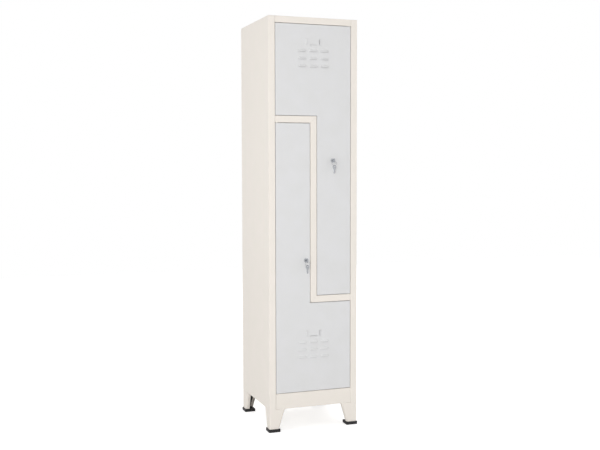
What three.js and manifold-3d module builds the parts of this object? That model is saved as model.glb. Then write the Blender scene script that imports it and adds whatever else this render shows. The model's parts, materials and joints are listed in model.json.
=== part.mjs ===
// Two-person Z locker in folded sheet steel, in millimetres.
// X runs from left to right, Y from the front to the back and Z up from the floor.
import * as THREE from 'three';
import { mergeVertices } from 'three/addons/utils/BufferGeometryUtils.js';
import Module from 'manifold-3d';

const wasm = await Module();
wasm.setup();

// Overall size of the body
const height = 1800;
const width = 410;
const depth = 410;

// Sheet work shared by every folded piece
const sheet = 0.8;
const foldRadius = 1.2;
const seam = 0.3;
const cutOver = 4;

// Front frame that the doors lie in
const legHeight = 100;
const apron = 68;
const topRail = 28;
const stile = 29;
const bar = 29;
const railDepth = 19.2;
const stopLip = 10;
const stileStep = 1.4;
const stileLip = 12;
const postReturn = 16;
const lapStep = 1.2;
const lapLength = 9;
const wideOpening = 395;

// Folds of the body that do not show from the front
const rearFlange = 18;
const bottomFlange = 16;
const shelfFlange = 14;

// Doors
const doorGap = 2;
const doorDepth = 14;
const doorLip = 8;
const doorBend = 1.6;

// Louvres on each door
const louvreLength = 40;
const louvreHeight = 11;
const louvreReach = 4.6;
const louvreColumns = 3;
const louvreRows = 3;
const columnPitch = 52;
const rowPitch = 33;
const upperVentDrop = 110.5;
const lowerVentRise = 221;
const louvreEndShares = [-1, -0.94, -0.74, 0.74, 0.94, 1];
const louvreEndFullness = 4;
const louvreBluntShare = 0.985;

// Card holder above the louvres, three lips lanced from the door sheet
const cardWidth = 58;
const cardHeight = 25;
const cardRise = 23;
const cardFoot = 30;
const cardLip = 6;
const cardGap = 1.4;
const cardRamp = 2.4;

// Hinge pins and their bushes
const pivotInset = 8;
const pivotSetback = 6.5;
const pinRadius = 3;
const pinHead = 5.2;
const pinHeadThick = 2;
const pinReach = 7;
const bushWall = 1.1;
const bushPlay = 0.15;
const bushLength = 6;
const bushFlange = 6;

// Door stiffeners, placed from the middle of a door's narrow leg
const ribOffset = 32.75;
const ribWidth = 30;
const ribDepth = 11;
const ribFoot = 9;
const ribEndGap = 16;

// Door buffers
const bufferRadius = 3.5;
const bufferDome = 0.9;
const bufferInset = 26;
const bufferRise = 5.5;
const bufferDrop = 108;

// Cam locks: the upper one is placed from the middle of its leg, the lower one from the leg's edge
const upperLockOffset = -5.25;
const upperLockHeight = 1185;
const lowerLockInset = 19;
const lowerLockHeight = 750;
const bezelRadius = 11;
const bezelThick = 2.6;
const bezelEdge = 0.8;
const dishRadius = 7.7;
const dishDepth = 1.2;
const barrelRadius = 9;
const barrelFlat = 8;
const barrelLength = 19.2;
const plugRadius = 6;
const plugHead = 7.3;
const plugProud = 0.7;
const plugPlay = 0.25;
const keywayDepth = 14.4;
const nutRadius = 13;
const nutThick = 3.5;
const camThick = 2;
const camRadius = 9;
const camTip = 7;
const camOverlap = 7;
const tailHalf = 2.8;
const screwHead = 5;
const screwHeadThick = 2.4;
const screwShank = 1.8;
const screwLength = 6;

// Keys and rings
const keyThick = 2;
const keyPlay = 0.3;
const bladeHeight = 6.4;
const bladeLength = 16;
const bladeTip = 1.6;
const keyNeck = 3;
const neckHalf = 4.2;
const bowRadius = 9;
const bowHole = 3.1;
const bowHoleInset = 6;
const toothDepth = 1.4;
const toothWidth = 1.3;
const toothShares = [0.16, 0.36, 0.56, 0.76];
const ringRadius = 10.5;
const ringWire = 0.8;
const spareTwist = THREE.MathUtils.degToRad(35);

// Coat rails
const railRadius = 8;
const railWall = 1.2;
const upperRailDrop = 84;
const lowerRailDrop = 46;
const socketFlange = 14;
const socketThick = 2.5;
const socketCollar = 10.4;
const socketDepth = 9;

// Legs and their shoes
const legSheet = 1.5;
const legFront = 45.5;
const legSide = 43;
const legTaper = 0.31;
const legFillet = 9;
const legReturn = 18;
const legEdgeBend = 8;
const legCornerBend = 1.8;
const gussetCut = 22;
const shoeHeight = 14;
const shoeFloor = 4;
const shoeProud = 3;
const shoeBack = 2.5;
const shoeEdge = 1.2;
const liningThick = 1.6;
const liningBend = 1.8;
const liningDrop = 8;

// Steps in round and bent forms
const bendSteps = 3;
const bevelSteps = 3;
const lockSteps = 24;
const roundSteps = 16;
const holeSteps = 8;
const louvreSteps = 3;
const ringSteps = 20;
const wireSteps = 5;

// Places that several pieces share
const outer = width / 2;
const opening = outer - stile;
const sill = legHeight + apron;
const lintel = height - topRail;
const upperBarTop = lintel - wideOpening;
const upperBarLow = upperBarTop - bar;
const lowerBarLow = sill + wideOpening;
const lowerBarTop = lowerBarLow + bar;
const halfBar = bar / 2;
const half = sheet / 2;
const stileDepth = railDepth + stileStep;
const skin = sheet + seam;
const backFace = depth - skin;
const backFront = backFace - sheet;
const shelfBack = backFront - skin - seam;
const shelfTop = upperBarTop - halfBar;
const shelfLow = lowerBarLow + halfBar;
const floorLevel = sill + stopLip;
const doorEdge = opening - doorGap;
const pivotX = doorEdge - pivotInset;
const legEdge = halfBar + doorGap;
const legMiddle = (legEdge + doorEdge) / 2;
const plugFront = -bezelThick - plugProud;
const camFront = barrelLength + 2 * seam;

// Coatings and bare materials
function finish(color, roughness, metalness) {
  return new THREE.MeshStandardMaterial({ color, roughness, metalness, flatShading: true });
}
const cream = finish(0xefe9dd, 0.5, 0);
const grey = finish(0xdcdee0, 0.5, 0);
const chrome = finish(0xc9ccd0, 0.2, 1);
const steel = finish(0xa9abad, 0.4, 1);
const nylon = finish(0xe4e2da, 0.6, 0);
const rubber = finish(0x35363a, 0.9, 0);
const plastic = finish(0x1b1b1c, 0.6, 0);

// A three.js geometry as a solid that can be joined and cut
function solid(geometry) {
  const bare = geometry.clone();
  bare.deleteAttribute('normal');
  bare.deleteAttribute('uv');
  const merged = mergeVertices(bare);
  const triangles = [];
  const index = merged.index.array;
  for (let i = 0; i < index.length; i += 3) {
    const [a, b, c] = [index[i], index[i + 1], index[i + 2]];
    if (a !== b && b !== c && c !== a) triangles.push(a, b, c);
  }
  return new wasm.Manifold(new wasm.Mesh({
    numProp: 3,
    vertProperties: Float32Array.from(merged.attributes.position.array),
    triVerts: Uint32Array.from(triangles),
  }));
}

// A solid as a three.js geometry again
function geometryOf(body) {
  const mesh = body.getMesh();
  const geometry = new THREE.BufferGeometry();
  geometry.setAttribute('position', new THREE.BufferAttribute(mesh.vertProperties, 3));
  geometry.setIndex(new THREE.BufferAttribute(mesh.triVerts, 1));
  return geometry;
}

function weld(first, ...others) {
  return others.reduce((sum, next) => sum.add(next), first);
}

function carve(first, ...tools) {
  return tools.reduce((rest, tool) => rest.subtract(tool), first);
}

function point(u, v) {
  return new THREE.Vector2(u, v);
}

// Outline of a bent strip, from the corners of its middle line and the bend radius at each
function strip(corners, thickness, radii = corners.map(() => foldRadius)) {
  const left = [];
  const right = [];
  const push = (at, heading) => {
    const side = point(-Math.sin(heading), Math.cos(heading)).multiplyScalar(thickness / 2);
    left.push(at.clone().add(side));
    right.push(at.clone().sub(side));
  };
  const headingOf = (a, b) => Math.atan2(b.y - a.y, b.x - a.x);
  const last = corners.length - 1;
  push(corners[0], headingOf(corners[0], corners[1]));
  for (let i = 1; i < last; i += 1) {
    const into = headingOf(corners[i - 1], corners[i]);
    const out = headingOf(corners[i], corners[i + 1]);
    const turn = Math.atan2(Math.sin(out - into), Math.cos(out - into));
    const reach = radii[i] * Math.tan(Math.abs(turn) / 2);
    const start = corners[i].clone().sub(point(Math.cos(into), Math.sin(into)).multiplyScalar(reach));
    const radius = radii[i] * Math.sign(turn);
    const centre = start.clone().add(point(-Math.sin(into), Math.cos(into)).multiplyScalar(radius));
    for (let k = 0; k <= bendSteps; k += 1) {
      const heading = into + turn * (k / bendSteps);
      const spoke = point(Math.sin(heading), -Math.cos(heading)).multiplyScalar(radius);
      push(centre.clone().add(spoke), heading);
    }
  }
  push(corners[last], headingOf(corners[last - 1], corners[last]));
  return left.concat(right.reverse());
}

// A closed outline with every edge moved inwards
function inset(outline, distance) {
  const ring = THREE.ShapeUtils.isClockWise(outline) ? outline.slice().reverse() : outline;
  return ring.map((corner, i) => {
    const before = ring[(i + ring.length - 1) % ring.length];
    const after = ring[(i + 1) % ring.length];
    const a = corner.clone().sub(before).normalize();
    const b = after.clone().sub(corner).normalize();
    const normalA = point(-a.y, a.x);
    const normalB = point(-b.y, b.x);
    const share = distance / (1 + normalA.dot(normalB));
    return corner.clone().add(normalA.add(normalB).multiplyScalar(share));
  });
}

// A profile drawn in X and Y and carried up, with its edges rounded where bevel is given
function upright(profile, from, to, bevel = 0) {
  const shape = profile instanceof THREE.Shape ? profile : new THREE.Shape(profile);
  const geometry = new THREE.ExtrudeGeometry(shape, {
    depth: to - from - 2 * bevel,
    curveSegments: holeSteps,
    bevelEnabled: bevel > 0,
    bevelThickness: bevel,
    bevelSize: bevel,
    bevelOffset: -bevel,
    bevelSegments: bevelSteps,
  });
  return geometry.translate(0, 0, from + bevel);
}

// A profile drawn in Y and Z and carried along X
function crosswise(profile, from, to) {
  const turn = new THREE.Matrix4().makeBasis(
    new THREE.Vector3(0, 1, 0),
    new THREE.Vector3(0, 0, 1),
    new THREE.Vector3(1, 0, 0),
  );
  return upright(profile, from, to).applyMatrix4(turn);
}

// A profile drawn in X and Z and carried back along Y
function inward(profile, from, to, bevel = 0) {
  const turn = new THREE.Matrix4().makeBasis(
    new THREE.Vector3(1, 0, 0),
    new THREE.Vector3(0, 0, 1),
    new THREE.Vector3(0, -1, 0),
  );
  return upright(profile, -to, -from, bevel).applyMatrix4(turn);
}

// A straight-sided cutting or joining block between two corners, given in any order
function block(xs, ys, zs) {
  const sizes = [xs, ys, zs].map(([a, b]) => Math.abs(b - a));
  const middles = [xs, ys, zs].map(([a, b]) => (a + b) / 2);
  return solid(new THREE.BoxGeometry(...sizes).translate(...middles));
}

// A turned piece, from a closed profile of radius and place along its axis
function turned(profile, axis, steps = roundSteps) {
  const points = profile.map(([radius, along]) => point(radius, along));
  if (THREE.ShapeUtils.isClockWise(points)) points.reverse();
  const geometry = new THREE.LatheGeometry(points.concat([points[0]]), steps);
  if (axis === 'z') geometry.rotateX(Math.PI / 2);
  if (axis === 'x') geometry.rotateZ(-Math.PI / 2);
  return geometry;
}

// A closed skin over rings that all have the same number of points
function loft(rings) {
  const count = rings[0].length;
  const positions = rings.flat().flatMap((p) => [p.x, p.y, p.z]);
  const index = [];
  for (let r = 0; r < rings.length - 1; r += 1) {
    for (let i = 0; i < count; i += 1) {
      const a = r * count + i;
      const b = r * count + ((i + 1) % count);
      index.push(a, b, b + count, a, b + count, a + count);
    }
  }
  const last = (rings.length - 1) * count;
  const level = rings[0].every((p) => p.z === rings[0][0].z);
  const flat = rings[0].map((p) => (level ? point(p.x, p.y) : point(p.y, p.z)));
  for (const [a, b, c] of THREE.ShapeUtils.triangulateShape(flat, [])) {
    index.push(c, b, a, last + a, last + b, last + c);
  }
  const geometry = new THREE.BufferGeometry();
  geometry.setAttribute('position', new THREE.Float32BufferAttribute(positions, 3));
  geometry.setIndex(index);
  return geometry;
}

// A copy flipped across X, Y or both, with its faces still pointing out
function flipped(geometry, signX, signY) {
  const copy = geometry.clone().scale(signX, signY, 1);
  if (signX * signY > 0) return copy;
  const index = copy.index.array;
  for (let i = 0; i < index.length; i += 3) [index[i], index[i + 1]] = [index[i + 1], index[i]];
  return copy;
}

const body = new THREE.Group();

function piece(name, shape, material, x = 0, y = 0, z = 0) {
  const geometry = shape instanceof THREE.BufferGeometry ? shape : geometryOf(shape);
  const faceted = geometry.index ? geometry.toNonIndexed() : geometry;
  faceted.computeVertexNormals();
  const mesh = new THREE.Mesh(faceted, material);
  mesh.name = name;
  mesh.position.set(x, y, z);
  body.add(mesh);
  return mesh;
}

// A round hole up through a rail or a door edge, at a hinge axis
function pinHole(x, z, radius) {
  const profile = [[0, -cutOver], [radius, -cutOver], [radius, cutOver], [0, cutOver]];
  return solid(turned(profile, 'z').translate(x, pivotSetback, z));
}

// Side panels: rear flange and wall are one folded sheet, stepped in behind the front post
function sidePanel(side) {
  const wall = side * (outer - half);
  const lap = wall - side * skin;
  const section = strip([
    point(side * (outer - rearFlange), depth - half),
    point(wall, depth - half),
    point(wall, postReturn + seam + lapStep),
    point(lap, postReturn + seam),
    point(lap, postReturn - lapLength),
  ], sheet);
  return upright(section, legHeight, height - skin);
}
piece('left_side_panel', sidePanel(-1), cream);
piece('right_side_panel', sidePanel(1), cream);

// Front posts: return, stile, jamb and stop lip are one folded channel over the side panel
function frontPost(side) {
  const section = strip([
    point(side * (outer - half), postReturn),
    point(side * (outer - half), half),
    point(side * (opening + half), half),
    point(side * (opening + half), stileDepth - half),
    point(side * (opening - stileLip), stileDepth - half),
  ], sheet);
  const folded = solid(upright(section, legHeight, height - skin));
  const lipXs = [side * (opening - stileLip - cutOver), side * (opening - seam)];
  const lipYs = [stileDepth - sheet - seam, stileDepth + cutOver];
  return carve(folded, block(lipXs, lipYs, [legHeight - cutOver, floorLevel + seam]));
}
piece('left_front_post', frontPost(-1), cream);
piece('right_front_post', frontPost(1), cream);

// Roof panel: its front edge is folded down into the top rail and the upper stop lip
function roofPanel() {
  const section = strip([
    point(railDepth - half, lintel - stopLip),
    point(railDepth - half, lintel + half),
    point(half, lintel + half),
    point(half, height - half),
    point(depth - half, height - half),
    point(depth - half, height - topRail),
  ], sheet);
  const folded = solid(crosswise(section, -outer, outer));
  const corners = [-1, 1].map((side) => block(
    [side * (opening - seam), side * (outer + cutOver)],
    [-cutOver, depth + cutOver],
    [lintel - stopLip - cutOver, height - sheet],
  ));
  return carve(folded, ...corners, pinHole(pivotX, lintel, pinRadius + seam));
}
piece('roof_panel', roofPanel(), cream);

// Bottom panel: apron, sill and the step that stops the door are folded from the floor sheet
function bottomPanel() {
  const rear = backFront - seam - half;
  const section = strip([
    point(bottomFlange, legHeight + half),
    point(half, legHeight + half),
    point(half, sill - half),
    point(railDepth - half, sill - half),
    point(railDepth - half, floorLevel - half),
    point(rear, floorLevel - half),
    point(rear, floorLevel - shelfFlange),
  ], sheet);
  const folded = solid(crosswise(section, skin - outer, outer - skin));
  const notches = [-1, 1].map((side) => block(
    [side * (opening - seam), side * outer],
    [-cutOver, stileDepth + seam],
    [legHeight - cutOver, floorLevel + cutOver],
  ));
  return carve(folded, ...notches, pinHole(-pivotX, sill, pinRadius + seam));
}
piece('bottom_panel', bottomPanel(), cream);

// Back panel: a flat sheet held between the flanges of the sides and the roof
function backPanel() {
  const reach = outer - sheet - foldRadius;
  const outline = [
    point(-reach, legHeight),
    point(reach, legHeight),
    point(reach, height - skin - foldRadius),
    point(-reach, height - skin - foldRadius),
  ];
  return inward(outline, backFront, backFace);
}
piece('back_panel', backPanel(), cream);

// Z divider: three hat-shaped bars mitred together, each with a stop lip on both sides
function hatSection(low, high) {
  return [
    point(railDepth - half, low - stopLip),
    point(railDepth - half, low + half),
    point(half, low + half),
    point(half, high - half),
    point(railDepth - half, high - half),
    point(railDepth - half, high + stopLip),
  ];
}

// Prism that takes away everything on one side of a mitre through (x, z) at 45 degrees
function mitre(x, z, side) {
  const reach = bar + stopLip + cutOver;
  const shift = side * seam * Math.SQRT1_2 / 2;
  const outline = [
    point(x - reach + shift, z - reach - shift),
    point(x + reach + shift, z + reach - shift),
    point(x - side * reach, z + side * reach),
  ];
  return solid(inward(outline, -cutOver, railDepth + cutOver));
}
const upperBar = solid(crosswise(strip(hatSection(upperBarLow, upperBarTop), sheet),
  seam - opening, halfBar + stopLip));
piece('upper_divider_bar', carve(upperBar, mitre(halfBar, upperBarTop, -1),
  pinHole(-pivotX, upperBarLow, pinRadius + seam)), cream);

const lowerBar = solid(crosswise(strip(hatSection(lowerBarLow, lowerBarTop), sheet),
  -halfBar - stopLip, opening - seam));
piece('lower_divider_bar', carve(lowerBar, mitre(-halfBar, lowerBarLow, 1),
  pinHole(pivotX, lowerBarTop, pinRadius + seam)), cream);

const uprightSection = hatSection(-halfBar, halfBar).map((p) => point(p.y, p.x));
const uprightBar = solid(upright(strip(uprightSection, sheet),
  lowerBarLow - stopLip, upperBarTop + stopLip));
piece('vertical_divider_bar', carve(uprightBar, mitre(halfBar, upperBarTop, 1),
  mitre(-halfBar, lowerBarLow, -1)), cream);

// Shelves and partition behind the Z divider
function shelf(side) {
  const near = side * skin;
  const far = side * (outer - skin - half);
  const level = side < 0 ? shelfTop - half : shelfLow + half;
  const edge = level + side * (shelfFlange - half);
  const section = strip([
    point(near, edge),
    point(near, level),
    point(far, level),
    point(far, edge),
  ], sheet);
  const folded = solid(inward(section, skin, shelfBack));
  const notch = block(
    [side * (opening - stileLip - seam), side * outer],
    [-cutOver, stileDepth + seam],
    [level - shelfFlange - cutOver, level + shelfFlange + cutOver],
  );
  return carve(folded, notch);
}
piece('upper_shelf', shelf(-1), cream);
piece('lower_shelf', shelf(1), cream);

const partitionSection = strip([
  point(0, skin),
  point(0, backFront - seam - half),
  point(shelfFlange, backFront - seam - half),
], sheet);
piece('vertical_partition', upright(partitionSection, shelfLow, shelfTop), cream);

// One pressed louvre: a hood with a full upper edge and blunt ends, open underneath.
// Across it, both reach and height follow the square root of one minus a high power of the place.
function louvreSkin(length, tall, reach, back, below, ledge) {
  const rings = louvreEndShares.map((share) => {
    const place = share * louvreBluntShare;
    const fullness = Math.sqrt(1 - Math.abs(place) ** louvreEndFullness);
    const x = share * length / 2;
    const ring = [
      new THREE.Vector3(x, back, ledge),
      new THREE.Vector3(x, back, tall * fullness),
    ];
    for (let k = 0; k <= louvreSteps; k += 1) {
      const v = k / louvreSteps;
      const y = -reach * fullness * Math.sin(v * Math.PI / 2);
      ring.push(new THREE.Vector3(x, y, k < louvreSteps ? tall * fullness * (1 - v) : -below));
    }
    ring.push(new THREE.Vector3(x, 0, -below), new THREE.Vector3(x, 0, ledge));
    return ring;
  });
  return solid(loft(rings));
}

// Louvres in rows and columns, centred on the door's wide part
function louvrePlaces(topRow) {
  const places = [];
  for (let row = 0; row < louvreRows; row += 1) {
    for (let column = 0; column < louvreColumns; column += 1) {
      const x = (column - (louvreColumns - 1) / 2) * columnPitch;
      places.push([x, topRow - row * rowPitch - louvreHeight / 2]);
    }
  }
  return places;
}

// Lips of the card holder: a strip that ramps off the door face and runs flat above it
function cardLipSection(towards) {
  const start = towards * (cardRamp + cardLip);
  return strip([
    point(start + towards * cardRamp, half),
    point(start, half),
    point(start - towards * cardRamp, -cardGap - half),
    point(0, -cardGap - half),
  ], sheet);
}

function cardHolder(centre) {
  const lips = [];
  const windows = [];
  for (const side of [-1, 1]) {
    const free = side * (cardWidth / 2);
    lips.push(solid(upright(cardLipSection(side), centre, centre + cardHeight).translate(free, 0, 0)));
    windows.push(block([free, free + side * (cardLip + cardRamp - half)],
      [-seam, sheet + seam], [centre, centre + cardHeight]));
  }
  const lying = cardLipSection(-1).map((p) => point(p.y, p.x));
  lips.push(solid(crosswise(lying, -cardFoot / 2, cardFoot / 2).translate(0, 0, centre)));
  windows.push(block([-cardFoot / 2, cardFoot / 2], [-seam, sheet + seam],
    [centre, centre - cardLip - cardRamp + half]));
  return { lips, windows };
}

// Outline of the upper door; the lower one is the same turned half a turn about Y
function doorOutline(side) {
  const corners = [
    point(-doorEdge, lintel - doorGap),
    point(-doorEdge, upperBarTop + doorGap),
    point(legEdge, upperBarTop + doorGap),
    point(legEdge, lowerBarTop + doorGap),
    point(doorEdge, lowerBarTop + doorGap),
    point(doorEdge, lintel - doorGap),
  ];
  if (side > 0) return corners;
  return corners.map((p) => point(-p.x, sill + lintel - p.y));
}

// Round hole with two flats that keeps a lock barrel from turning
function barrelShape(play) {
  const radius = barrelRadius + play;
  const flat = barrelFlat + play;
  const angle = Math.acos(flat / radius);
  const shape = new THREE.Shape();
  shape.absarc(0, 0, radius, angle, Math.PI - angle, false);
  shape.absarc(0, 0, radius, Math.PI + angle, -angle, false);
  shape.closePath();
  return shape;
}

// Door: a folded pan with return lips, pressed louvres, card holder and lock hole
function door(side, topRow, lockX, lockZ) {
  const outline = doorOutline(side);
  const shell = solid(inward(outline, 0, doorDepth, doorBend));
  const hollow = solid(inward(inset(outline, sheet), sheet, doorDepth - sheet, doorBend - sheet));
  const mouth = solid(inward(inset(outline, doorLip), doorDepth - cutOver, doorDepth + cutOver));
  const places = louvrePlaces(topRow);
  const hoods = places.map(([x, z]) => louvreSkin(louvreLength, louvreHeight, louvreReach,
    half, 0, 0).translate([x, 0, z]));
  const inners = places.map(([x, z]) => louvreSkin(louvreLength - 2 * sheet, louvreHeight - sheet,
    louvreReach - sheet, sheet + cutOver, cutOver, sheet).translate([x, 0, z]));
  const card = cardHolder(topRow + cardRise);
  const lockHole = solid(inward(barrelShape(seam), -cutOver, cutOver).translate(lockX, 0, lockZ));
  const edges = hingeEdges(side);
  const bushHole = pinRadius + bushPlay + bushWall + seam;
  const bushHoles = edges.map((z) => pinHole(side * pivotX, z, bushHole));
  const pressed = carve(weld(carve(shell, hollow, mouth), ...hoods), ...inners, ...card.windows);
  return carve(weld(pressed, ...card.lips), lockHole, ...bushHoles);
}

// Heights of a door's lower and upper edges on its hinge side
function hingeEdges(side) {
  const low = side > 0 ? lowerBarTop + doorGap : sill + doorGap;
  const high = side > 0 ? lintel - doorGap : upperBarLow - doorGap;
  return [low, high];
}
const upperTopRow = lintel - doorGap - upperVentDrop;
const lowerTopRow = sill + doorGap + lowerVentRise;
const upperLockX = legMiddle + upperLockOffset;
const lowerLockX = -legEdge - lowerLockInset;
piece('upper_door', door(1, upperTopRow, upperLockX, upperLockHeight), grey);
piece('lower_door', door(-1, lowerTopRow, lowerLockX, lowerLockHeight), grey);

// Stiffener: a hat section welded upright behind each door face
function stiffener(side) {
  const [low, high] = hingeEdges(side);
  const middle = side * (legMiddle + ribOffset);
  const base = skin + half;
  const section = strip([
    point(middle - ribWidth / 2 - ribFoot, base),
    point(middle - ribWidth / 2, base),
    point(middle - ribWidth / 2, skin + ribDepth - half),
    point(middle + ribWidth / 2, skin + ribDepth - half),
    point(middle + ribWidth / 2, base),
    point(middle + ribWidth / 2 + ribFoot, base),
  ], sheet);
  return upright(section, low + ribEndGap, high - ribEndGap);
}
piece('upper_door_stiffener', stiffener(1), grey);
piece('lower_door_stiffener', stiffener(-1), grey);

// Hinge pins fixed in the frame, and the bushes in the doors that turn on them
function hingePin(up) {
  const seat = up * (doorGap + sheet + seam);
  return turned([
    [0, -up * pinReach],
    [pinRadius, -up * pinReach],
    [pinRadius, seat],
    [pinHead, seat],
    [pinHead, seat + up * pinHeadThick],
    [0, seat + up * pinHeadThick],
  ], 'z');
}

function hingeBush(up) {
  const bore = pinRadius + bushPlay;
  return turned([
    [bore, -up * bushLength],
    [bore + bushWall, -up * bushLength],
    [bore + bushWall, up * seam],
    [bushFlange, up * seam],
    [bushFlange, up * (doorGap - seam)],
    [bore, up * (doorGap - seam)],
  ], 'z');
}

for (const [name, side] of [['upper', 1], ['lower', -1]]) {
  const [low, high] = hingeEdges(side);
  for (const [end, z, up] of [['bottom', low, -1], ['top', high, 1]]) {
    piece(`${name}_door_${end}_pin`, hingePin(up), steel, side * pivotX, pivotSetback, z);
    piece(`${name}_door_${end}_bush`, hingeBush(up), nylon, side * pivotX, pivotSetback, z);
  }
}

// Rubber buffers between the stop lips and the backs of the doors
function buffer() {
  const front = doorDepth + seam;
  const rear = railDepth - sheet - seam;
  return turned([
    [0, front],
    [bufferRadius - bufferDome, front],
    [bufferRadius, front + bufferDome],
    [bufferRadius, rear],
    [0, rear],
  ], 'y');
}
const bufferX = opening - bufferInset;
piece('upper_door_rail_buffer', buffer(), rubber, -bufferX, 0, lintel - bufferRise);
piece('upper_door_bar_buffer', buffer(), rubber, halfBar + bufferRise, 0, lowerBarTop + bufferDrop);
piece('lower_door_sill_buffer', buffer(), rubber, bufferX, 0, sill + bufferRise);
piece('lower_door_bar_buffer', buffer(), rubber, -halfBar - bufferRise, 0, upperBarLow - bufferDrop);

// Cam lock barrel with its round bezel
function lockBody() {
  const bore = plugRadius + plugPlay;
  const profile = [
    [bore, dishDepth - bezelThick],
    [dishRadius, dishDepth - bezelThick],
    [dishRadius, -bezelThick],
    [bezelRadius - bezelEdge, -bezelThick],
    [bezelRadius, bezelEdge - bezelThick],
    [bezelRadius, -seam],
    [barrelRadius, -seam],
    [barrelRadius, barrelLength],
    [bore, barrelLength],
  ];
  const reach = barrelRadius + cutOver;
  const flats = [-1, 1].map((side) => block(
    [side * barrelFlat, side * reach], [0, barrelLength + cutOver], [-reach, reach],
  ));
  return carve(solid(turned(profile, 'y', lockSteps)), ...flats);
}

function lockNut() {
  const corners = Array.from({ length: 6 }, (_, i) => {
    const angle = i * Math.PI / 3;
    return point(nutRadius * Math.cos(angle), nutRadius * Math.sin(angle));
  });
  const shape = new THREE.Shape(corners);
  const hole = new THREE.Path();
  hole.absarc(0, 0, barrelRadius + seam, 0, 2 * Math.PI, true);
  shape.holes.push(hole);
  return inward(shape, skin, skin + nutThick);
}

// Plug with its head, keyway, square tail and the thread hole for the cam screw
function lockPlug() {
  const rear = barrelLength + seam;
  const tailEnd = camFront + camThick + seam;
  const round = solid(turned([
    [0, plugFront],
    [plugHead, plugFront],
    [plugHead, dishDepth - bezelThick - seam],
    [plugRadius, dishDepth - bezelThick - seam],
    [plugRadius, rear],
    [0, rear],
  ], 'y', lockSteps));
  const tail = block([-tailHalf, tailHalf], [rear - seam, tailEnd], [-tailHalf, tailHalf]);
  const slotX = keyThick / 2 + keyPlay;
  const slotZ = bladeHeight / 2 + keyPlay;
  const keyway = block([-slotX, slotX], [plugFront - cutOver, keywayDepth], [-slotZ, slotZ]);
  const holeRadius = screwShank + seam;
  const holeFloor = tailEnd + seam - screwLength - seam;
  const hole = solid(turned([
    [0, holeFloor],
    [holeRadius, holeFloor],
    [holeRadius, tailEnd + cutOver],
    [0, tailEnd + cutOver],
  ], 'y'));
  return carve(weld(round, tail), keyway, hole);
}

// Cam: a flat lever with a square hole, hanging down when unlocked
function lockCam(length) {
  const shape = new THREE.Shape();
  shape.absarc(0, 0, camRadius, 0, Math.PI, false);
  shape.absarc(0, camTip - length, camTip, Math.PI, 2 * Math.PI, false);
  shape.closePath();
  const side = tailHalf + seam;
  shape.holes.push(new THREE.Path([
    point(-side, -side), point(-side, side), point(side, side), point(side, -side),
  ]));
  return inward(shape, camFront, camFront + camThick);
}

function camScrew() {
  const seat = camFront + camThick + 2 * seam;
  return turned([
    [0, seat - screwLength],
    [screwShank, seat - screwLength],
    [screwShank, seat],
    [screwHead, seat],
    [screwHead, seat + screwHeadThick / 2],
    [screwHead - screwHeadThick / 2, seat + screwHeadThick],
    [0, seat + screwHeadThick],
  ], 'y');
}

// Flat key: round bow with a hole, neck, and a blade with cuts along its lower edge
function key() {
  const bowCentre = -keyNeck - bowRadius;
  const meet = Math.asin(neckHalf / bowRadius);
  const edge = bladeHeight / 2;
  const shape = new THREE.Shape();
  shape.moveTo(0, neckHalf);
  shape.absarc(bowCentre, 0, bowRadius, meet, 2 * Math.PI - meet, false);
  shape.lineTo(0, -neckHalf);
  shape.lineTo(0, -edge);
  for (const share of toothShares) {
    const u = share * bladeLength;
    shape.lineTo(u - toothWidth, -edge);
    shape.lineTo(u, toothDepth - edge);
    shape.lineTo(u + toothWidth, -edge);
  }
  shape.lineTo(bladeLength - bladeTip, -edge);
  shape.lineTo(bladeLength, bladeTip - edge);
  shape.lineTo(bladeLength, edge - bladeTip);
  shape.lineTo(bladeLength - bladeTip, edge);
  shape.lineTo(0, edge);
  const hole = new THREE.Path();
  hole.absarc(bowCentre - bowRadius + bowHoleInset, 0, bowHole, 0, 2 * Math.PI, true);
  shape.holes.push(hole);
  return crosswise(shape, -keyThick / 2, keyThick / 2);
}

// Places of the keys, ring and spare key, measured from the lock axis at the door face
const keySeat = plugFront - seam;
const holeBehindShoulder = keyNeck + 2 * bowRadius - bowHoleInset;
const holeY = keySeat - holeBehindShoulder;
const hang = bowHole - ringWire - seam;
const ringCentreZ = -hang - ringRadius;
const ringLowZ = ringCentreZ - ringRadius;
const spareHoleZ = ringLowZ - hang;

function lock(name, x, z, camLength) {
  piece(`${name}_lock_body`, lockBody(), chrome, x, 0, z);
  piece(`${name}_lock_nut`, lockNut(), steel, x, 0, z);
  piece(`${name}_lock_plug`, lockPlug(), chrome, x, 0, z);
  piece(`${name}_lock_cam`, lockCam(camLength), steel, x, 0, z);
  piece(`${name}_cam_screw`, camScrew(), steel, x, 0, z);
  piece(`${name}_key`, key(), chrome, x, keySeat, z);
  const ring = new THREE.TorusGeometry(ringRadius, ringWire, wireSteps, ringSteps);
  piece(`${name}_key_ring`, ring.rotateX(Math.PI / 2), chrome, x, holeY, z + ringCentreZ);
  const spare = key().translate(0, holeBehindShoulder, 0).rotateX(-Math.PI / 2);
  piece(`${name}_spare_key`, spare.rotateZ(spareTwist), chrome, x, holeY, z + spareHoleZ);
}
lock('upper', upperLockX, upperLockHeight, upperLockX - halfBar - stopLip + camOverlap);
lock('lower', lowerLockX, lowerLockHeight, -halfBar - stopLip + camOverlap - lowerLockX);

// Coat rails and the sockets at their ends
function coatRail(from, to) {
  const shape = new THREE.Shape();
  shape.absarc(0, 0, railRadius, 0, 2 * Math.PI, false);
  const bore = new THREE.Path();
  bore.absarc(0, 0, railRadius - railWall, 0, 2 * Math.PI, true);
  shape.holes.push(bore);
  return crosswise(shape, from + socketThick + seam, to - socketThick - seam);
}

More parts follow.
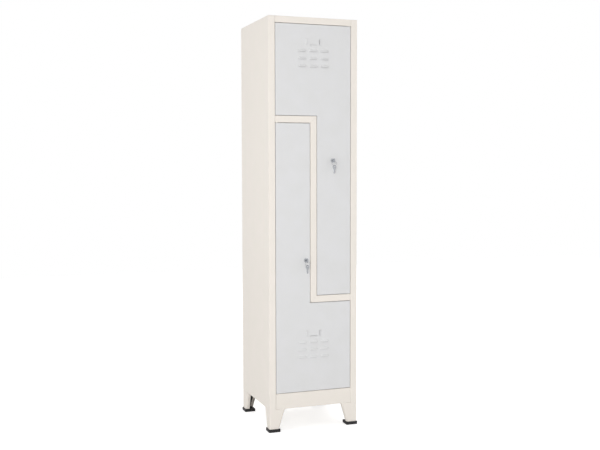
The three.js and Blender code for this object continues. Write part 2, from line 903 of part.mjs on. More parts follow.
function railSocket(side) {
  return turned([
    [0, 0],
    [socketFlange, 0],
    [socketFlange, -side * socketThick],
    [socketCollar, -side * socketThick],
    [socketCollar, -side * socketDepth],
    [railRadius + seam, -side * socketDepth],
    [railRadius + seam, -side * socketThick],
    [0, -side * socketThick],
  ], 'x');
}
const wallFace = outer - skin;
const partitionFace = -half - seam;
for (const [name, to, z] of [
  ['upper', wallFace, height - upperRailDrop],
  ['lower', partitionFace, upperBarLow - lowerRailDrop],
]) {
  piece(`${name}_coat_rail`, coatRail(-wallFace, to), steel, 0, depth / 2, z);
  piece(`${name}_rail_left_socket`, railSocket(-1), plastic, -wallFace, depth / 2, z);
  piece(`${name}_rail_right_socket`, railSocket(1), plastic, to, depth / 2, z);
}

// Middle line of a leg at a height: two wings, across and deep, each rolled back into a return
function legCorners(z, spare, wings) {
  const thick = legSheet / 2;
  const rise = Math.max(z - shoeHeight, 0);
  const top = legHeight - seam;
  const intoFillet = Math.min(Math.max(z - (top - legFillet), 0), legFillet);
  const flare = legFillet - Math.sqrt(legFillet ** 2 - intoFillet ** 2);
  const [across, deep] = wings.map((wing) => wing + rise * legTaper + flare - thick);
  return [
    point(across, legReturn + spare),
    point(across, thick),
    point(thick, thick),
    point(thick, deep),
    point(legReturn + spare, deep),
  ];
}
const legRadii = [0, legEdgeBend, legCornerBend, legEdgeBend, 0];

function leg(wings) {
  const top = legHeight - seam;
  const heights = [shoeFloor + seam, shoeHeight, top - legFillet];
  for (let k = 1; k <= bendSteps; k += 1) {
    heights.push(top - legFillet + legFillet * Math.sin((k / bendSteps) * (Math.PI / 2)));
  }
  const rings = heights.map((z) => {
    const outline = strip(legCorners(z, 0, wings), legSheet, legRadii);
    return outline.map((p) => new THREE.Vector3(p.x, p.y, z)).reverse();
  });
  const thick = legSheet / 2;
  const gusset = upright([
    point(thick, thick),
    point(wings[0], thick),
    point(wings[0], gussetCut),
    point(gussetCut, wings[1]),
    point(thick, wings[1]),
  ], top - legSheet, top);
  return geometryOf(weld(solid(loft(rings)), solid(gusset)));
}

// Middle line of the lining inside a leg, which stops short of the rolled edges
function liningCorners(z, wings) {
  const [across, , , deep] = legCorners(z, 0, wings);
  const inside = legSheet + seam + liningThick / 2;
  const stop = legEdgeBend + seam;
  return [
    point(across.x - stop, inside),
    point(inside, inside),
    point(inside, deep.y - stop),
  ];
}

// Plastic shoe: a block with a groove that follows the leg, and a lining that rises inside it
function shoe(wings) {
  const outline = [
    point(-shoeProud, -shoeProud),
    point(wings[0] + shoeBack, -shoeProud),
    point(wings[0] + shoeBack, wings[1] + shoeBack),
    point(-shoeProud, wings[1] + shoeBack),
  ];
  const blank = solid(upright(outline, 0, shoeHeight, shoeEdge));
  const groove = strip(legCorners(0, seam, wings), legSheet + 2 * seam, legRadii);
  const cut = carve(blank, solid(upright(groove, shoeFloor, shoeHeight + cutOver)));
  const heights = [shoeHeight / 2, shoeHeight, legHeight - liningDrop];
  const rings = heights.map((z) => {
    const section = strip(liningCorners(z, wings), liningThick, [0, liningBend, 0]);
    return section.map((p) => new THREE.Vector3(p.x, p.y, z)).reverse();
  });
  return geometryOf(weld(cut, solid(loft(rings))));
}

// The rear legs are the front ones turned a quarter, so their wings change places
const frontWings = [legFront, legSide];
const rearWings = [legSide, legFront];
for (const [name, signX, signY, x, y, wings] of [
  ['front_left', 1, 1, -outer, 0, frontWings],
  ['front_right', -1, 1, outer, 0, frontWings],
  ['back_left', 1, -1, -outer, depth, rearWings],
  ['back_right', -1, -1, outer, depth, rearWings],
]) {
  piece(`${name}_leg`, flipped(leg(wings), signX, signY), cream, x, y, 0);
  piece(`${name}_shoe`, flipped(shoe(wings), signX, signY), plastic, x, y, 0);
}

// The origin is on the floor, in the middle of everything from the spare keys to the rear shoes
const spareReach = bowRadius * Math.cos(spareTwist) + (keyThick / 2) * Math.sin(spareTwist);
const frontReach = Math.max(-holeY + spareReach, -keySeat + keyNeck + 2 * bowRadius);
body.position.y = -(depth + shoeProud - frontReach) / 2;

const locker = new THREE.Group();
locker.add(body);
export default locker;
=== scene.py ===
# %% [markdown]
# # A two-person Z locker in folded sheet steel
#
# The locker is a tall steel box on four pressed legs. Two L-shaped doors interlock round a Z-shaped
# divider, so that each user has a wide space and a tall narrow one. The body is powder coated cream and
# the doors light grey. The engineering model is loaded first as a fixed frame, and everything below is
# either a better finish for one of its pieces or a finer surface that takes a piece's place.

# %% Load the engineering model
import json
import math

import bmesh
import bpy
import numpy as np
from mathutils import Matrix, Vector
from mathutils.geometry import delaunay_2d_cdt

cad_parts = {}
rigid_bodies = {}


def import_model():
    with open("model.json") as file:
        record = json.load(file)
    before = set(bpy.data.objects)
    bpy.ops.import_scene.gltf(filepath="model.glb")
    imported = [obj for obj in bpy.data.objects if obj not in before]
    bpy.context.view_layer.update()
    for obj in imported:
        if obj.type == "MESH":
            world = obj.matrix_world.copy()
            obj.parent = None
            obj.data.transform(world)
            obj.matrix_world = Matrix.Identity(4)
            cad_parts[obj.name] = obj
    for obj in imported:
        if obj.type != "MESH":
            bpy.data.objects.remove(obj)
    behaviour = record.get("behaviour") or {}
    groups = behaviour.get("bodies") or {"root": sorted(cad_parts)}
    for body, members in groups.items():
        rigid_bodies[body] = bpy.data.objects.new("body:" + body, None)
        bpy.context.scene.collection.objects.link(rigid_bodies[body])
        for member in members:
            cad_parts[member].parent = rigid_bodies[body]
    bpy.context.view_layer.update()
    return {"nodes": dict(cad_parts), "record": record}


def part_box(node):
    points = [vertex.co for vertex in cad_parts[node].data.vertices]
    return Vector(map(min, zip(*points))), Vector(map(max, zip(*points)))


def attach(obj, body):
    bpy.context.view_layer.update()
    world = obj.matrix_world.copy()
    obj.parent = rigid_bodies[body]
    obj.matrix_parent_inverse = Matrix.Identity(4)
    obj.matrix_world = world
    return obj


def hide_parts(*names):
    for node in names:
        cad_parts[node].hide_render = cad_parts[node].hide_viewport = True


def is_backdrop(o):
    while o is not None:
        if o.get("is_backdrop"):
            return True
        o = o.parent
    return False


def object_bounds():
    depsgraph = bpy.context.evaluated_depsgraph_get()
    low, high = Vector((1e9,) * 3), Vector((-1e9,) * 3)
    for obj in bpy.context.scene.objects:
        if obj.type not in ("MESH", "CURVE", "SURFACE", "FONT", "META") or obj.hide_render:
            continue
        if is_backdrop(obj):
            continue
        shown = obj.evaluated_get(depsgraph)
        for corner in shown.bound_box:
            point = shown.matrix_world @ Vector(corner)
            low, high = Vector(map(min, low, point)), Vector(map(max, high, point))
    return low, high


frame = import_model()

nodes = frame["nodes"]

# %% [markdown]
# ## Units and places
#
# Sheet metal is drawn in millimetres, measured from the front face of the locker, so the lists below read
# like a workshop drawing: x across from the middle, y back from the front face, z up from the floor.
# One function turns such points to metres in the model's own place.

# %% Millimetres on the drawing to metres in the scene
MM = 0.001
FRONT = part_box("left_front_post")[0].y


def placed(points):
    """Drawing points in mm, any array ending in (x, y, z), moved to the front face and scaled to metres."""
    return np.asarray(points, float) * MM + np.array([0.0, FRONT, 0.0])


print("front face at y =", round(FRONT, 4), "m")

# %% [markdown]
# ## Surfaces as grids
#
# A surface is a function of two parameters, worked out on a grid of points as one numpy array. Joining each
# point to its neighbours gives the faces. Flat sheets with holes are the one exception: they have few points
# and odd outlines, so a constrained triangulation fills them, and the triangles inside the holes are dropped.

# %% Grids
def grid(points, wrap=False):
    """Rows x columns x 3 points as (vertices, quads). wrap joins the last column to the first."""
    rows, columns = points.shape[:2]
    ids = np.arange(rows * columns).reshape(rows, columns)
    if wrap:
        ids = np.concatenate([ids, ids[:, :1]], axis=1)
    quads = np.stack([ids[:-1, :-1], ids[:-1, 1:], ids[1:, 1:], ids[1:, :-1]], axis=-1)
    return points.reshape(-1, 3), quads.reshape(-1, 4).tolist()


print("a grid of 3 x 4 points:", len(grid(np.zeros((3, 4, 3)))[1]), "faces")

# %% Flat sheets with holes
SAME_POINT = 1e-6  # mm: closer than this, two points of an outline are one


def inside(points, loop):
    """Which 2D points lie in a closed loop, by counting the loop's edges to their right."""
    x, y = points[:, 0, None], points[:, 1, None]
    x0, y0 = loop.T
    x1, y1 = np.roll(loop, -1, axis=0).T
    spans = (y0 > y) != (y1 > y)
    rise = np.where(y1 == y0, 1.0, y1 - y0)
    return (spans & (x < x0 + (y - y0) * (x1 - x0) / rise)).sum(axis=1) % 2 == 1


def lifted(axis, flat, place):
    """Flat points in space: their two numbers fill the other axes, and the place is where they lie on this
    axis, as one number or as a function of the flat points."""
    return np.insert(flat, "xyz".index(axis), place(flat) if callable(place) else place, axis=1)


def distinct(loop):
    """A closed loop without the points that repeat the one before."""
    return loop[np.linalg.norm(loop - np.roll(loop, 1, axis=0), axis=1) > SAME_POINT]


def flat_sheet(axis, outline, place, holes=()):
    """A sheet across an axis at a place, bounded by an outline less its holes."""
    loops = [distinct(np.asarray(loop, float)) for loop in [outline, *holes]]
    starts = np.cumsum([0] + [len(loop) for loop in loops])
    edges = [(a + i, a + (i + 1) % (b - a)) for a, b in zip(starts, starts[1:]) for i in range(b - a)]
    flat = [Vector(p) for p in np.concatenate(loops)]
    points, _, faces, *_ = delaunay_2d_cdt(flat, edges, [], 0, SAME_POINT)
    points, faces = np.array([p[:] for p in points]), np.array(faces)
    middles = points[faces].mean(axis=1)
    kept = inside(middles, loops[0])
    for hole in loops[1:]:
        kept &= ~inside(middles, hole)
    return lifted(axis, points, place), faces[kept].tolist()


print("a square sheet:", len(flat_sheet("z", [(0, 0), (1, 0), (1, 1), (0, 1)], 0.0)[1]), "triangles")

# %% Closed meshes
MERGED, SLIVER = 2e-6, 1e-6  # metres: borders this close are joined, and edges this short are closed up


def count_faces(parts):
    """How many faces parts have together."""
    return sum(len(faces) for _, faces in parts)


def closed_mesh(name, parts, angle=40.0):
    """Joins parts that share their borders into one closed mesh in metres, smooth below the angle."""
    vertices, faces = [], []
    for points, part in parts:
        start = sum(len(v) for v in vertices)
        vertices.append(points)
        faces += [[start + i for i in face] for face in part]
    mesh = bpy.data.meshes.new(name)
    mesh.from_pydata(placed(np.concatenate(vertices)).tolist(), [], faces)
    bm = bmesh.new()
    bm.from_mesh(mesh)
    bmesh.ops.remove_doubles(bm, verts=bm.verts, dist=MERGED)
    bmesh.ops.dissolve_degenerate(bm, dist=SLIVER, edges=bm.edges)
    bmesh.ops.recalc_face_normals(bm, faces=bm.faces)
    open_edges = sum(not e.is_manifold for e in bm.edges)
    bm.to_mesh(mesh)
    bm.free()
    mesh.shade_smooth()
    mesh.set_sharp_from_angle(angle=math.radians(angle))
    piece = bpy.data.objects.new(name, mesh)
    bpy.context.scene.collection.objects.link(piece)
    flats = piece.modifiers.new("flats_stay_flat", "WEIGHTED_NORMAL")
    flats.weight, flats.keep_sharp = 100, True
    print(f"{name}: {len(mesh.polygons)} faces, {open_edges} open edges")
    return piece


# %% [markdown]
# ## Folded sheet
#
# Nearly every piece of the body is a strip of sheet steel folded on a press brake, so one profile function
# serves them all: it follows a bent middle line at half a thickness on either side, with a true arc at each
# fold. A solid is that profile carried through two or more stations on one axis, flat across its ends.

# %% Bent profiles and solids between stations
SHEET, FOLD, SEAM = 0.8, 1.2, 0.3


def bent(corners, thickness=SHEET, radii=FOLD, steps=8):
    """Closed outline of a bent strip. At each fold the heading turns evenly through the arc, and the two
    sides lie half a thickness to the left and right of the middle line."""
    corners = np.asarray(corners, float)
    ahead = np.diff(corners, axis=0)
    headings = np.arctan2(ahead[:, 1], ahead[:, 0])
    radii = np.broadcast_to(radii, len(corners))
    middles, turned = [corners[:1]], [headings[:1]]
    for corner, into, out, radius in zip(corners[1:-1], headings, headings[1:], radii[1:-1]):
        turn = (out - into + np.pi) % (2 * np.pi) - np.pi
        heading = into + turn * np.linspace(0.0, 1.0, steps + 1)
        start = corner - radius * np.tan(abs(turn) / 2) * np.array([np.cos(into), np.sin(into)])
        swing = radius * np.sign(turn)
        centre = start + swing * np.array([-np.sin(into), np.cos(into)])
        middles.append(centre + swing * np.stack([np.sin(heading), -np.cos(heading)], axis=-1))
        turned.append(heading)
    middle = np.concatenate([*middles, corners[-1:]])
    heading = np.concatenate([*turned, headings[-1:]])
    side = 0.5 * thickness * np.stack([-np.sin(heading), np.cos(heading)], axis=-1)
    return np.concatenate([middle + side, (middle - side)[::-1]])


def walls(axis, *stations):
    """Closed outlines of equally many points, each with its place on the axis, joined all round."""
    return grid(np.stack([lifted(axis, outline, place) for outline, place in stations]), wrap=True)


def through(axis, *stations):
    """A closed solid carried through stations, each an outline and its place, and capped at both ends."""
    return [walls(axis, *stations), flat_sheet(axis, *stations[0]), flat_sheet(axis, *stations[-1])]


print("outline of a strip with one fold:", len(bent([(0, 0), (9, 0), (9, 9)])), "points")

# %% [markdown]
# ## Finishes
#
# Every finish starts from the real one: powder coat is a thermoset polyester baked on, with a shallow orange
# peel a millimetre or two across; the locks are nickel-chrome plated zinc, and the keys nickel plated brass,
# greyer than chrome and set darker still as a painted dark reflection; cams, pins and rails are zinc plated
# steel with a faint crystal pattern; shoes and sockets are spark-textured black plastic. One helper adds a
# node with its settings and another links sockets. Colours are written as sRGB hex and turned to linear
# light.

# %% Colour and node helpers
def linear(hex_code):
    """An sRGB colour such as "efe9dd" as linear RGBA."""
    part = np.array([int(hex_code[i:i + 2], 16) for i in (0, 2, 4)]) / 255.0
    value = np.where(part <= 0.04045, part / 12.92, ((part + 0.055) / 1.055) ** 2.4)
    return (*value.tolist(), 1.0)


def feed(node, **links):
    """Links sockets of a node, their names written with _ for a space, to the outputs that feed them."""
    for key, source in links.items():
        node.id_data.links.new(source, node.inputs[key.replace("_", " ")])


def add_node(tree, kind, settings=None, **links):
    """Adds a node. Names in settings are its properties or sockets; links are sockets fed by other nodes."""
    node = tree.nodes.new(kind)
    for key, value in (settings or {}).items():
        if key in node.inputs:
            node.inputs[key].default_value = value
        else:
            setattr(node, key, value)
    feed(node, **links)
    return node


def new_finish(name):
    """An empty material with its tree, its surface shader and the object's own coordinates in metres."""
    finish = bpy.data.materials.new(name)
    finish.use_nodes = True
    tree = finish.node_tree
    shader = tree.nodes["Principled BSDF"]
    place = add_node(tree, "ShaderNodeTexCoord").outputs["Object"]
    print("finish:", name)
    return finish, tree, shader, place


def per_metre(size_mm):
    """Noise scale that gives features of about this size."""
    return 1.0 / (size_mm * MM)


print("half way in sRGB is", round(linear("808080")[0], 3), "in linear light")

# %% Powder coat
PEEL_MM, GRIT_MM, CLOUD_MM, COAT_IOR = 1.6, 0.45, 70.0, 1.5


def powder_coat(name, colour, deep_colour, roughness):
    """Baked polyester powder: satin, with orange peel over fine grit and a slight cloudiness."""
    finish, tree, shader, place = new_finish(name)
    shader.inputs["IOR"].default_value = COAT_IOR
    peel, grit, cloud = (
        add_node(tree, "ShaderNodeTexNoise", {"Scale": per_metre(size), "Detail": detail}, Vector=place)
        for size, detail in ((PEEL_MM, 1.0), (GRIT_MM, 2.0), (CLOUD_MM, 2.0)))
    ramp = add_node(tree, "ShaderNodeValToRGB", Fac=cloud.outputs["Fac"])
    for stop, at, code in zip(ramp.color_ramp.elements, (0.3, 0.7), (deep_colour, colour)):
        stop.position, stop.color = at, linear(code)
    gloss = add_node(tree, "ShaderNodeMapRange", {"To Min": roughness - 0.04, "To Max": roughness + 0.05},
                     Value=grit.outputs["Fac"])
    fine = add_node(tree, "ShaderNodeBump", {"Strength": 0.12, "Distance": 0.08 * MM},
                    Height=grit.outputs["Fac"])
    bump = add_node(tree, "ShaderNodeBump", {"Strength": 0.35, "Distance": 0.12 * MM},
                    Height=peel.outputs["Fac"], Normal=fine.outputs["Normal"])
    feed(shader, Base_Color=ramp.outputs["Color"], Roughness=gloss.outputs["Result"],
         Normal=bump.outputs["Normal"])
    return finish


FINISHES = {  # two soft pale colours, even from afar and faintly pebbled close up
    "cream_coat": powder_coat("cream_polyester_powder_coat", "f2ebe3", "f0eae1", 0.46),
    "grey_coat": powder_coat("light_grey_polyester_powder_coat", "e1e1e2", "dfdfdf", 0.46),
}

# %% Plated metals
PLATING_RELIEF_MM = 0.05


def plated_metal(name, colour, dull_colour, roughness, spread, grain_mm, bump_strength):
    """A metal whose plating varies a little in colour and gloss, over grains of the given size."""
    finish, tree, shader, place = new_finish(name)
    shader.inputs["Metallic"].default_value = 1.0
    grain = add_node(tree, "ShaderNodeTexNoise", {"Scale": per_metre(grain_mm), "Detail": 4.0}, Vector=place)
    ramp = add_node(tree, "ShaderNodeValToRGB", Fac=grain.outputs["Fac"])
    for stop, at, code in zip(ramp.color_ramp.elements, (0.35, 0.65), (dull_colour, colour)):
        stop.position, stop.color = at, linear(code)
    gloss = add_node(tree, "ShaderNodeMapRange", {"To Min": roughness, "To Max": roughness + spread},
                     Value=grain.outputs["Fac"])
    bump = add_node(tree, "ShaderNodeBump", {"Strength": bump_strength, "Distance": PLATING_RELIEF_MM * MM},
                    Height=grain.outputs["Fac"])
    feed(shader, Base_Color=ramp.outputs["Color"], Roughness=gloss.outputs["Result"],
         Normal=bump.outputs["Normal"])
    return finish


# Chrome mirrors its surroundings clearly; the keys' nickel is greyer, blurs them, and is darkened as painted
# reflection; zinc looks milky.
FINISHES |= {
    "lock_chrome": plated_metal("nickel_chrome_plating", "e0e1e3", "d0d2d5", 0.14, 0.1, 2.5, 0.05),
    "zinc_steel": plated_metal("bright_zinc_plated_steel", "b4b6b8", "a6a9ac", 0.3, 0.14, 1.8, 0.1),
}
key_nickel = plated_metal("key_nickel_darkened_as_painted_reflection", "bfc2c6", "b3b6bb", 0.2, 0.12, 4.0, 0.06)

# %% Plastics and rubber
def moulded_plastic(name, colour, worn_colour, roughness, grain_mm, depth_mm):
    """Moulded plastic or rubber with the spark-eroded grain of its mould and slightly paler high spots."""
    finish, tree, shader, place = new_finish(name)
    grain = add_node(tree, "ShaderNodeTexVoronoi", {"Scale": per_metre(grain_mm)}, Vector=place)
    ramp = add_node(tree, "ShaderNodeValToRGB", Fac=grain.outputs["Distance"])
    for stop, at, code in zip(ramp.color_ramp.elements, (0.1, 0.8), (worn_colour, colour)):
        stop.position, stop.color = at, linear(code)
    shader.inputs["Roughness"].default_value = roughness
    bump = add_node(tree, "ShaderNodeBump", {"Strength": 0.3, "Distance": depth_mm * MM},
                    Height=grain.outputs["Distance"])
    feed(shader, Base_Color=ramp.outputs["Color"], Normal=bump.outputs["Normal"])
    return finish


FINISHES |= {  # a deep dull black, a waxy off-white and a soot grey without any shine
    "black_plastic": moulded_plastic("black_polypropylene", "19181a", "242325", 0.5, 0.8, 0.08),
    "bush_nylon": moulded_plastic("natural_nylon", "e4e1d8", "eceae3", 0.45, 0.9, 0.04),
    "buffer_rubber": moulded_plastic("dark_buffer_rubber", "35353a", "404045", 0.85, 0.7, 0.05),
}

# %% Give the finishes to the engineering pieces by their material slots
for entry in frame["record"]["subparts"]:
    mesh = nodes[entry["node"]].data
    mesh.materials.clear()
    mesh.materials.append(FINISHES[entry["material_slot"]])


def fitted(title, parts, body, slot_name, *replaced, angle=40.0):
    """Makes a piece, gives it its finish and its body, and lets it stand for the pieces it replaces."""
    piece = closed_mesh(title, parts, angle)
    piece.data.materials.append(FINISHES[slot_name])
    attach(piece, body)
    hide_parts(*replaced)
    return piece


# %% [markdown]
# ## Doors
#
# Each door is a pan folded from 0.8 mm sheet: the face turns back through a small bend into a flange 14 mm
# deep, and the flange turns in again as a lip. Nine louvres are sheared along their lower edge and pressed
# out into hoods, so air and a view of the dark inside come from below only. Above them, three lips are
# lanced from the face to hold a name card.
#
# The pan's edge is one profile carried round the L-shaped outline with mitred corners. Each louvre is a
# surface of two parameters: u along its length and v from its upper edge down to its open lip.

# %% The door drawing
DOOR_DEPTH, DOOR_LIP, DOOR_BEND = 14.0, 8.0, 1.6
OUTER_FLAT, INNER_FLAT = 8, 28  # rows of the edge's profile where the flange's two flats start
LOUVRE_LENGTH, LOUVRE_HEIGHT, LOUVRE_REACH, HOOD_POWER = 40.0, 11.0, 4.6, 0.75
LOUVRE_PITCH_X, LOUVRE_PITCH_Z, LOUVRE_COLUMNS, LOUVRE_ROWS = 52.0, 33.0, 29, 9
CARD_WIDTH, CARD_HEIGHT, CARD_RISE, CARD_FOOT = 58.0, 25.0, 23.0, 30.0
CARD_LIP, CARD_GAP, CARD_RAMP, CARD_SLOT = 6.0, 1.4, 2.4, 1.0
LOCK_HOLE, LOCK_FLAT = 9.3, 8.3
PIVOT_INSET, PIVOT_SETBACK, BUSH_HOLE = 8.0, 6.5, 4.55
DOOR_GAP, BAR, STOP_LIP = 2.0, 29.0, 10.0


def door_outline(turned):
    """Corners of the upper door as (x, z), or of the lower one, which is the same turned half a turn."""
    low, high = (np.array(c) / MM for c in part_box("upper_door"))
    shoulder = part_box("upper_divider_bar")[1].z / MM - STOP_LIP + DOOR_GAP
    leg = BAR / 2 + DOOR_GAP
    corners = np.array([
        (low[0], high[2]), (low[0], shoulder), (leg, shoulder),
        (leg, low[2]), (high[0], low[2]), (high[0], high[2]),
    ])
    if not turned:
        return corners
    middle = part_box("lower_door")[0].z / MM + high[2]
    return np.stack([-corners[:, 0], middle - corners[:, 1]], axis=-1)


print("upper door, mm:", np.ptp(door_outline(False), axis=0).round(1))

# %% Mitres and arcs
def mitred(outline, distance):
    """The outline with every edge moved inwards by a distance: corners move along their bisectors."""
    area = np.sum(outline[:, 0] * np.roll(outline[:, 1], -1) - np.roll(outline[:, 0], -1) * outline[:, 1])
    ahead = np.roll(outline, -1, axis=0) - outline
    ahead /= np.linalg.norm(ahead, axis=1, keepdims=True)
    normal = np.stack([-ahead[:, 1], ahead[:, 0]], axis=-1) * np.sign(area)
    before = np.roll(normal, 1, axis=0)
    share = distance / (1.0 + np.sum(before * normal, axis=1, keepdims=True))
    return outline + share * (before + normal)


def arc(centre, radius, start, end, steps=8):
    """Points on an arc, angles in degrees."""
    angle = np.radians(np.linspace(start, end, steps + 1))
    return np.stack([centre[0] + radius * np.cos(angle), centre[1] + radius * np.sin(angle)], axis=-1)


def circle(centre, radius, steps):
    """Points on a full circle, the first not repeated."""
    return arc(centre, radius, 0, 360, steps)[:-1]


print("first corner of the flat face:", mitred(door_outline(False), DOOR_BEND)[0].round(1))

# %% The folded edge of a door
def pan_edge(outline, hinge_edges):
    """The door's folded edge: a closed profile of (distance in from the outline, depth), carried round it.
    The flats of the two edges on the hinges are filled separately, with a hole for the bush."""
    bend, deep, inner = DOOR_BEND, DOOR_DEPTH, DOOR_BEND - SHEET
    profile = np.concatenate([
        arc((bend, bend), bend, 270, 180),
        arc((bend, deep - bend), bend, 180, 90),
        [(DOOR_LIP, deep), (DOOR_LIP, deep - SHEET)],
        arc((bend, deep - bend), inner, 90, 180),
        arc((bend, bend), inner, 180, 270),
    ])
    rings = np.stack([lifted("y", mitred(outline, inset), depth) for inset, depth in profile])
    points, quads = grid(rings, wrap=True)
    parts, dropped, count = [], set(), len(outline)
    for edge, pivot in hinge_edges:
        hole, stations = circle((pivot, PIVOT_SETBACK), BUSH_HOLE, 32), []
        after = (edge + 1) % count
        for row in (OUTER_FLAT, INNER_FLAT):
            corners = rings[[row, row, row + 1, row + 1], [edge, after, after, edge]]
            stations.append((hole, corners[0, 2]))
            parts.append(flat_sheet("z", corners[:, :2], corners[0, 2], [hole]))
            dropped.add(count * row + edge)
        parts.append(walls("z", *stations))
    kept = [quad for place, quad in enumerate(quads) if place not in dropped]
    return [(points, kept), *parts]


print("folded edge:", count_faces(pan_edge(door_outline(False), [])), "faces")

# %% Louvre hoods
def smooth_rise(v):
    """From 0 to 1 with level ends: three v squared less two v cubed."""
    return v * v * (3.0 - 2.0 * v)


def hood_surface(u, v, length, height, back):
    """Hood point: its fullness is the root of one less u to the fourth power; height falls evenly with v and
    the reach rises smoothly with v to the three quarters, both in proportion to the fullness."""
    fullness = np.sqrt(np.clip(1.0 - u ** 4, 0.0, 1.0))
    return np.stack([
        0.5 * length * u,
        back - LOUVRE_REACH * fullness * smooth_rise(v ** HOOD_POWER),
        height * fullness * (1.0 - v),
    ], axis=-1)


def louvre(x, z):
    """Parts of one louvre at its lower middle point, with its hole loops in the front and rear sheets."""
    spread = np.sin(np.linspace(-0.5, 0.5, LOUVRE_COLUMNS) * np.pi)
    u, v = np.meshgrid(spread, np.linspace(0.0, 1.0, LOUVRE_ROWS))
    outer, inner = (hood_surface(u, v, LOUVRE_LENGTH - 2 * back, LOUVRE_HEIGHT - back, back) + [x, 0.0, z]
                    for back in (0.0, SHEET))
    lip = np.stack([outer[-1], inner[-1]])
    made = [grid(part) for part in (outer, inner, lip, lip[:, [0, -1]])]
    return made, outer[0][:, [0, 2]], inner[0][:, [0, 2]]


print("louvre:", count_faces(louvre(0.0, 0.0)[0]), "faces")

# %% Card holder lips
def card_lip(root, towards, across, length):
    """One lanced lip: from its root edge it ramps off the face and runs flat. The hole it leaves is a little
    longer than the lip, and shows as a dark slot along its free edge. Gives parts and both hole loops."""
    s = np.concatenate([np.linspace(0.0, CARD_RAMP, 9), [CARD_RAMP + CARD_LIP]])
    lift = (CARD_GAP + SHEET) * smooth_rise(np.clip(s / CARD_RAMP, 0.0, 1.0))
    ends = np.array([-0.5, 0.5]) * length
    root, towards, across = (np.array([p[0], 0.0, p[1]]) for p in (root, towards, across))
    flat = root + s[:, None, None] * towards + ends[None, :, None] * across
    front, back = (flat + depth[:, None, None] * np.array([0.0, 1.0, 0.0]) for depth in (-lift, SHEET - lift))
    rim = np.stack([np.concatenate([skin[:, 0], skin[::-1, 1]]) for skin in (front, back)])
    reach = (s[-1] + CARD_SLOT) * towards
    near, far = (root + end * across for end in ends)
    hole = np.stack([near, near + reach, far + reach, far])
    sides = np.stack([hole, hole + [0.0, SHEET, 0.0]])
    return [grid(part) for part in (front, back, rim, sides)], hole[:, [0, 2]], hole[:, [0, 2]]


print("card lip:", count_faces(card_lip((0, 0), (1, 0), (0, 1), CARD_HEIGHT)[0]), "faces")

# %% Whole doors
def door(name, body, turned, top_row, lock):
    """A closed door mesh: folded edge, front and rear sheets with their holes, louvres, card lips."""
    outline = door_outline(turned)
    pivot = (-1.0 if turned else 1.0) * (abs(outline[0, 0]) - PIVOT_INSET)
    foot, root = top_row + CARD_RISE, CARD_WIDTH / 2 + CARD_RAMP + CARD_LIP
    pressed = [louvre(column * LOUVRE_PITCH_X, top_row - row * LOUVRE_PITCH_Z - LOUVRE_HEIGHT / 2)
               for row in range(3) for column in (-1, 0, 1)]
    pressed += [card_lip(*lip) for lip in (
        ((-root, foot + CARD_HEIGHT / 2), (1, 0), (0, 1), CARD_HEIGHT),
        ((root, foot + CARD_HEIGHT / 2), (-1, 0), (0, 1), CARD_HEIGHT),
        ((0, foot - CARD_RAMP - CARD_LIP), (0, 1), (1, 0), CARD_FOOT),
    )]
    flat = np.degrees(np.arccos(LOCK_FLAT / LOCK_HOLE))
    lock_hole = np.concatenate([arc(lock, LOCK_HOLE, start + flat, start + 180 - flat, 24)
                                for start in (0, 180)])
    made, front_holes, rear_holes = zip(*pressed)
    edge = mitred(outline, DOOR_BEND)
    parts = [*pan_edge(outline, [(3, pivot), (5, pivot)]), *sum(made, []),
             walls("y", (lock_hole, 0.0), (lock_hole, SHEET)),
             flat_sheet("y", edge, 0.0, [*front_holes, lock_hole]),
             flat_sheet("y", edge, SHEET, [*rear_holes, lock_hole])]
    fitted(f"{name}_panel", parts, body, "grey_coat", name)


UPPER_LOCK, LOWER_LOCK = (90.0, 1185.0), (-35.5, 750.0)
UPPER_ROW, LOWER_ROW = 1659.5, 391.0
door("upper_door", "upper_leaf", False, UPPER_ROW, UPPER_LOCK)
door("lower_door", "lower_leaf", True, LOWER_ROW, LOWER_LOCK)

# %% [markdown]
# ## The body shell
#
# Each wall is one folded sheet. The front post is a channel: it starts at a return over the side wall, makes
# the visible stile, runs back as the jamb and ends in the lip that stops the door. The wall steps in behind
# it by one sheet so that the two faces are flush. The roof and the floor come forward over the doorway as
# the top rail and the apron, but between the posts only, so both change section on their way across.

# %% Walls and posts
OUTER, DEPTH, HEIGHT, LEG_HEIGHT = 205.0, 410.0, 1800.0, 100.0
OPENING, SILL, LINTEL, RAIL, STILE_DEPTH = 176.0, 168.0, 1772.0, 19.2, 20.6
HALF, SKIN, FLOOR = SHEET / 2, SHEET + SEAM, SILL + STOP_LIP
REAR_FLANGE, POST_RETURN, LAP_STEP, LAP, STILE_LIP = 18.0, 16.0, 1.2, 9.0, 12.0
STEP = 0.02  # the short way in which a section changes to its cut form


def trimmed(outline, dropped, first, second):
    """A bent outline cut short: dropped points go to one corner on the sheet's first side and to another on
    its second side."""
    on_first = np.arange(len(outline)) < len(outline) // 2
    return np.where(dropped[:, None], np.where(on_first[:, None], [first], [second]), outline)


def shell(name, axis, *stations):
    """A piece of the fixed body that takes the place of the engineering piece of the same name."""
    fitted(f"{name}_sheet", through(axis, *stations), "carcass", "cream_coat", name)


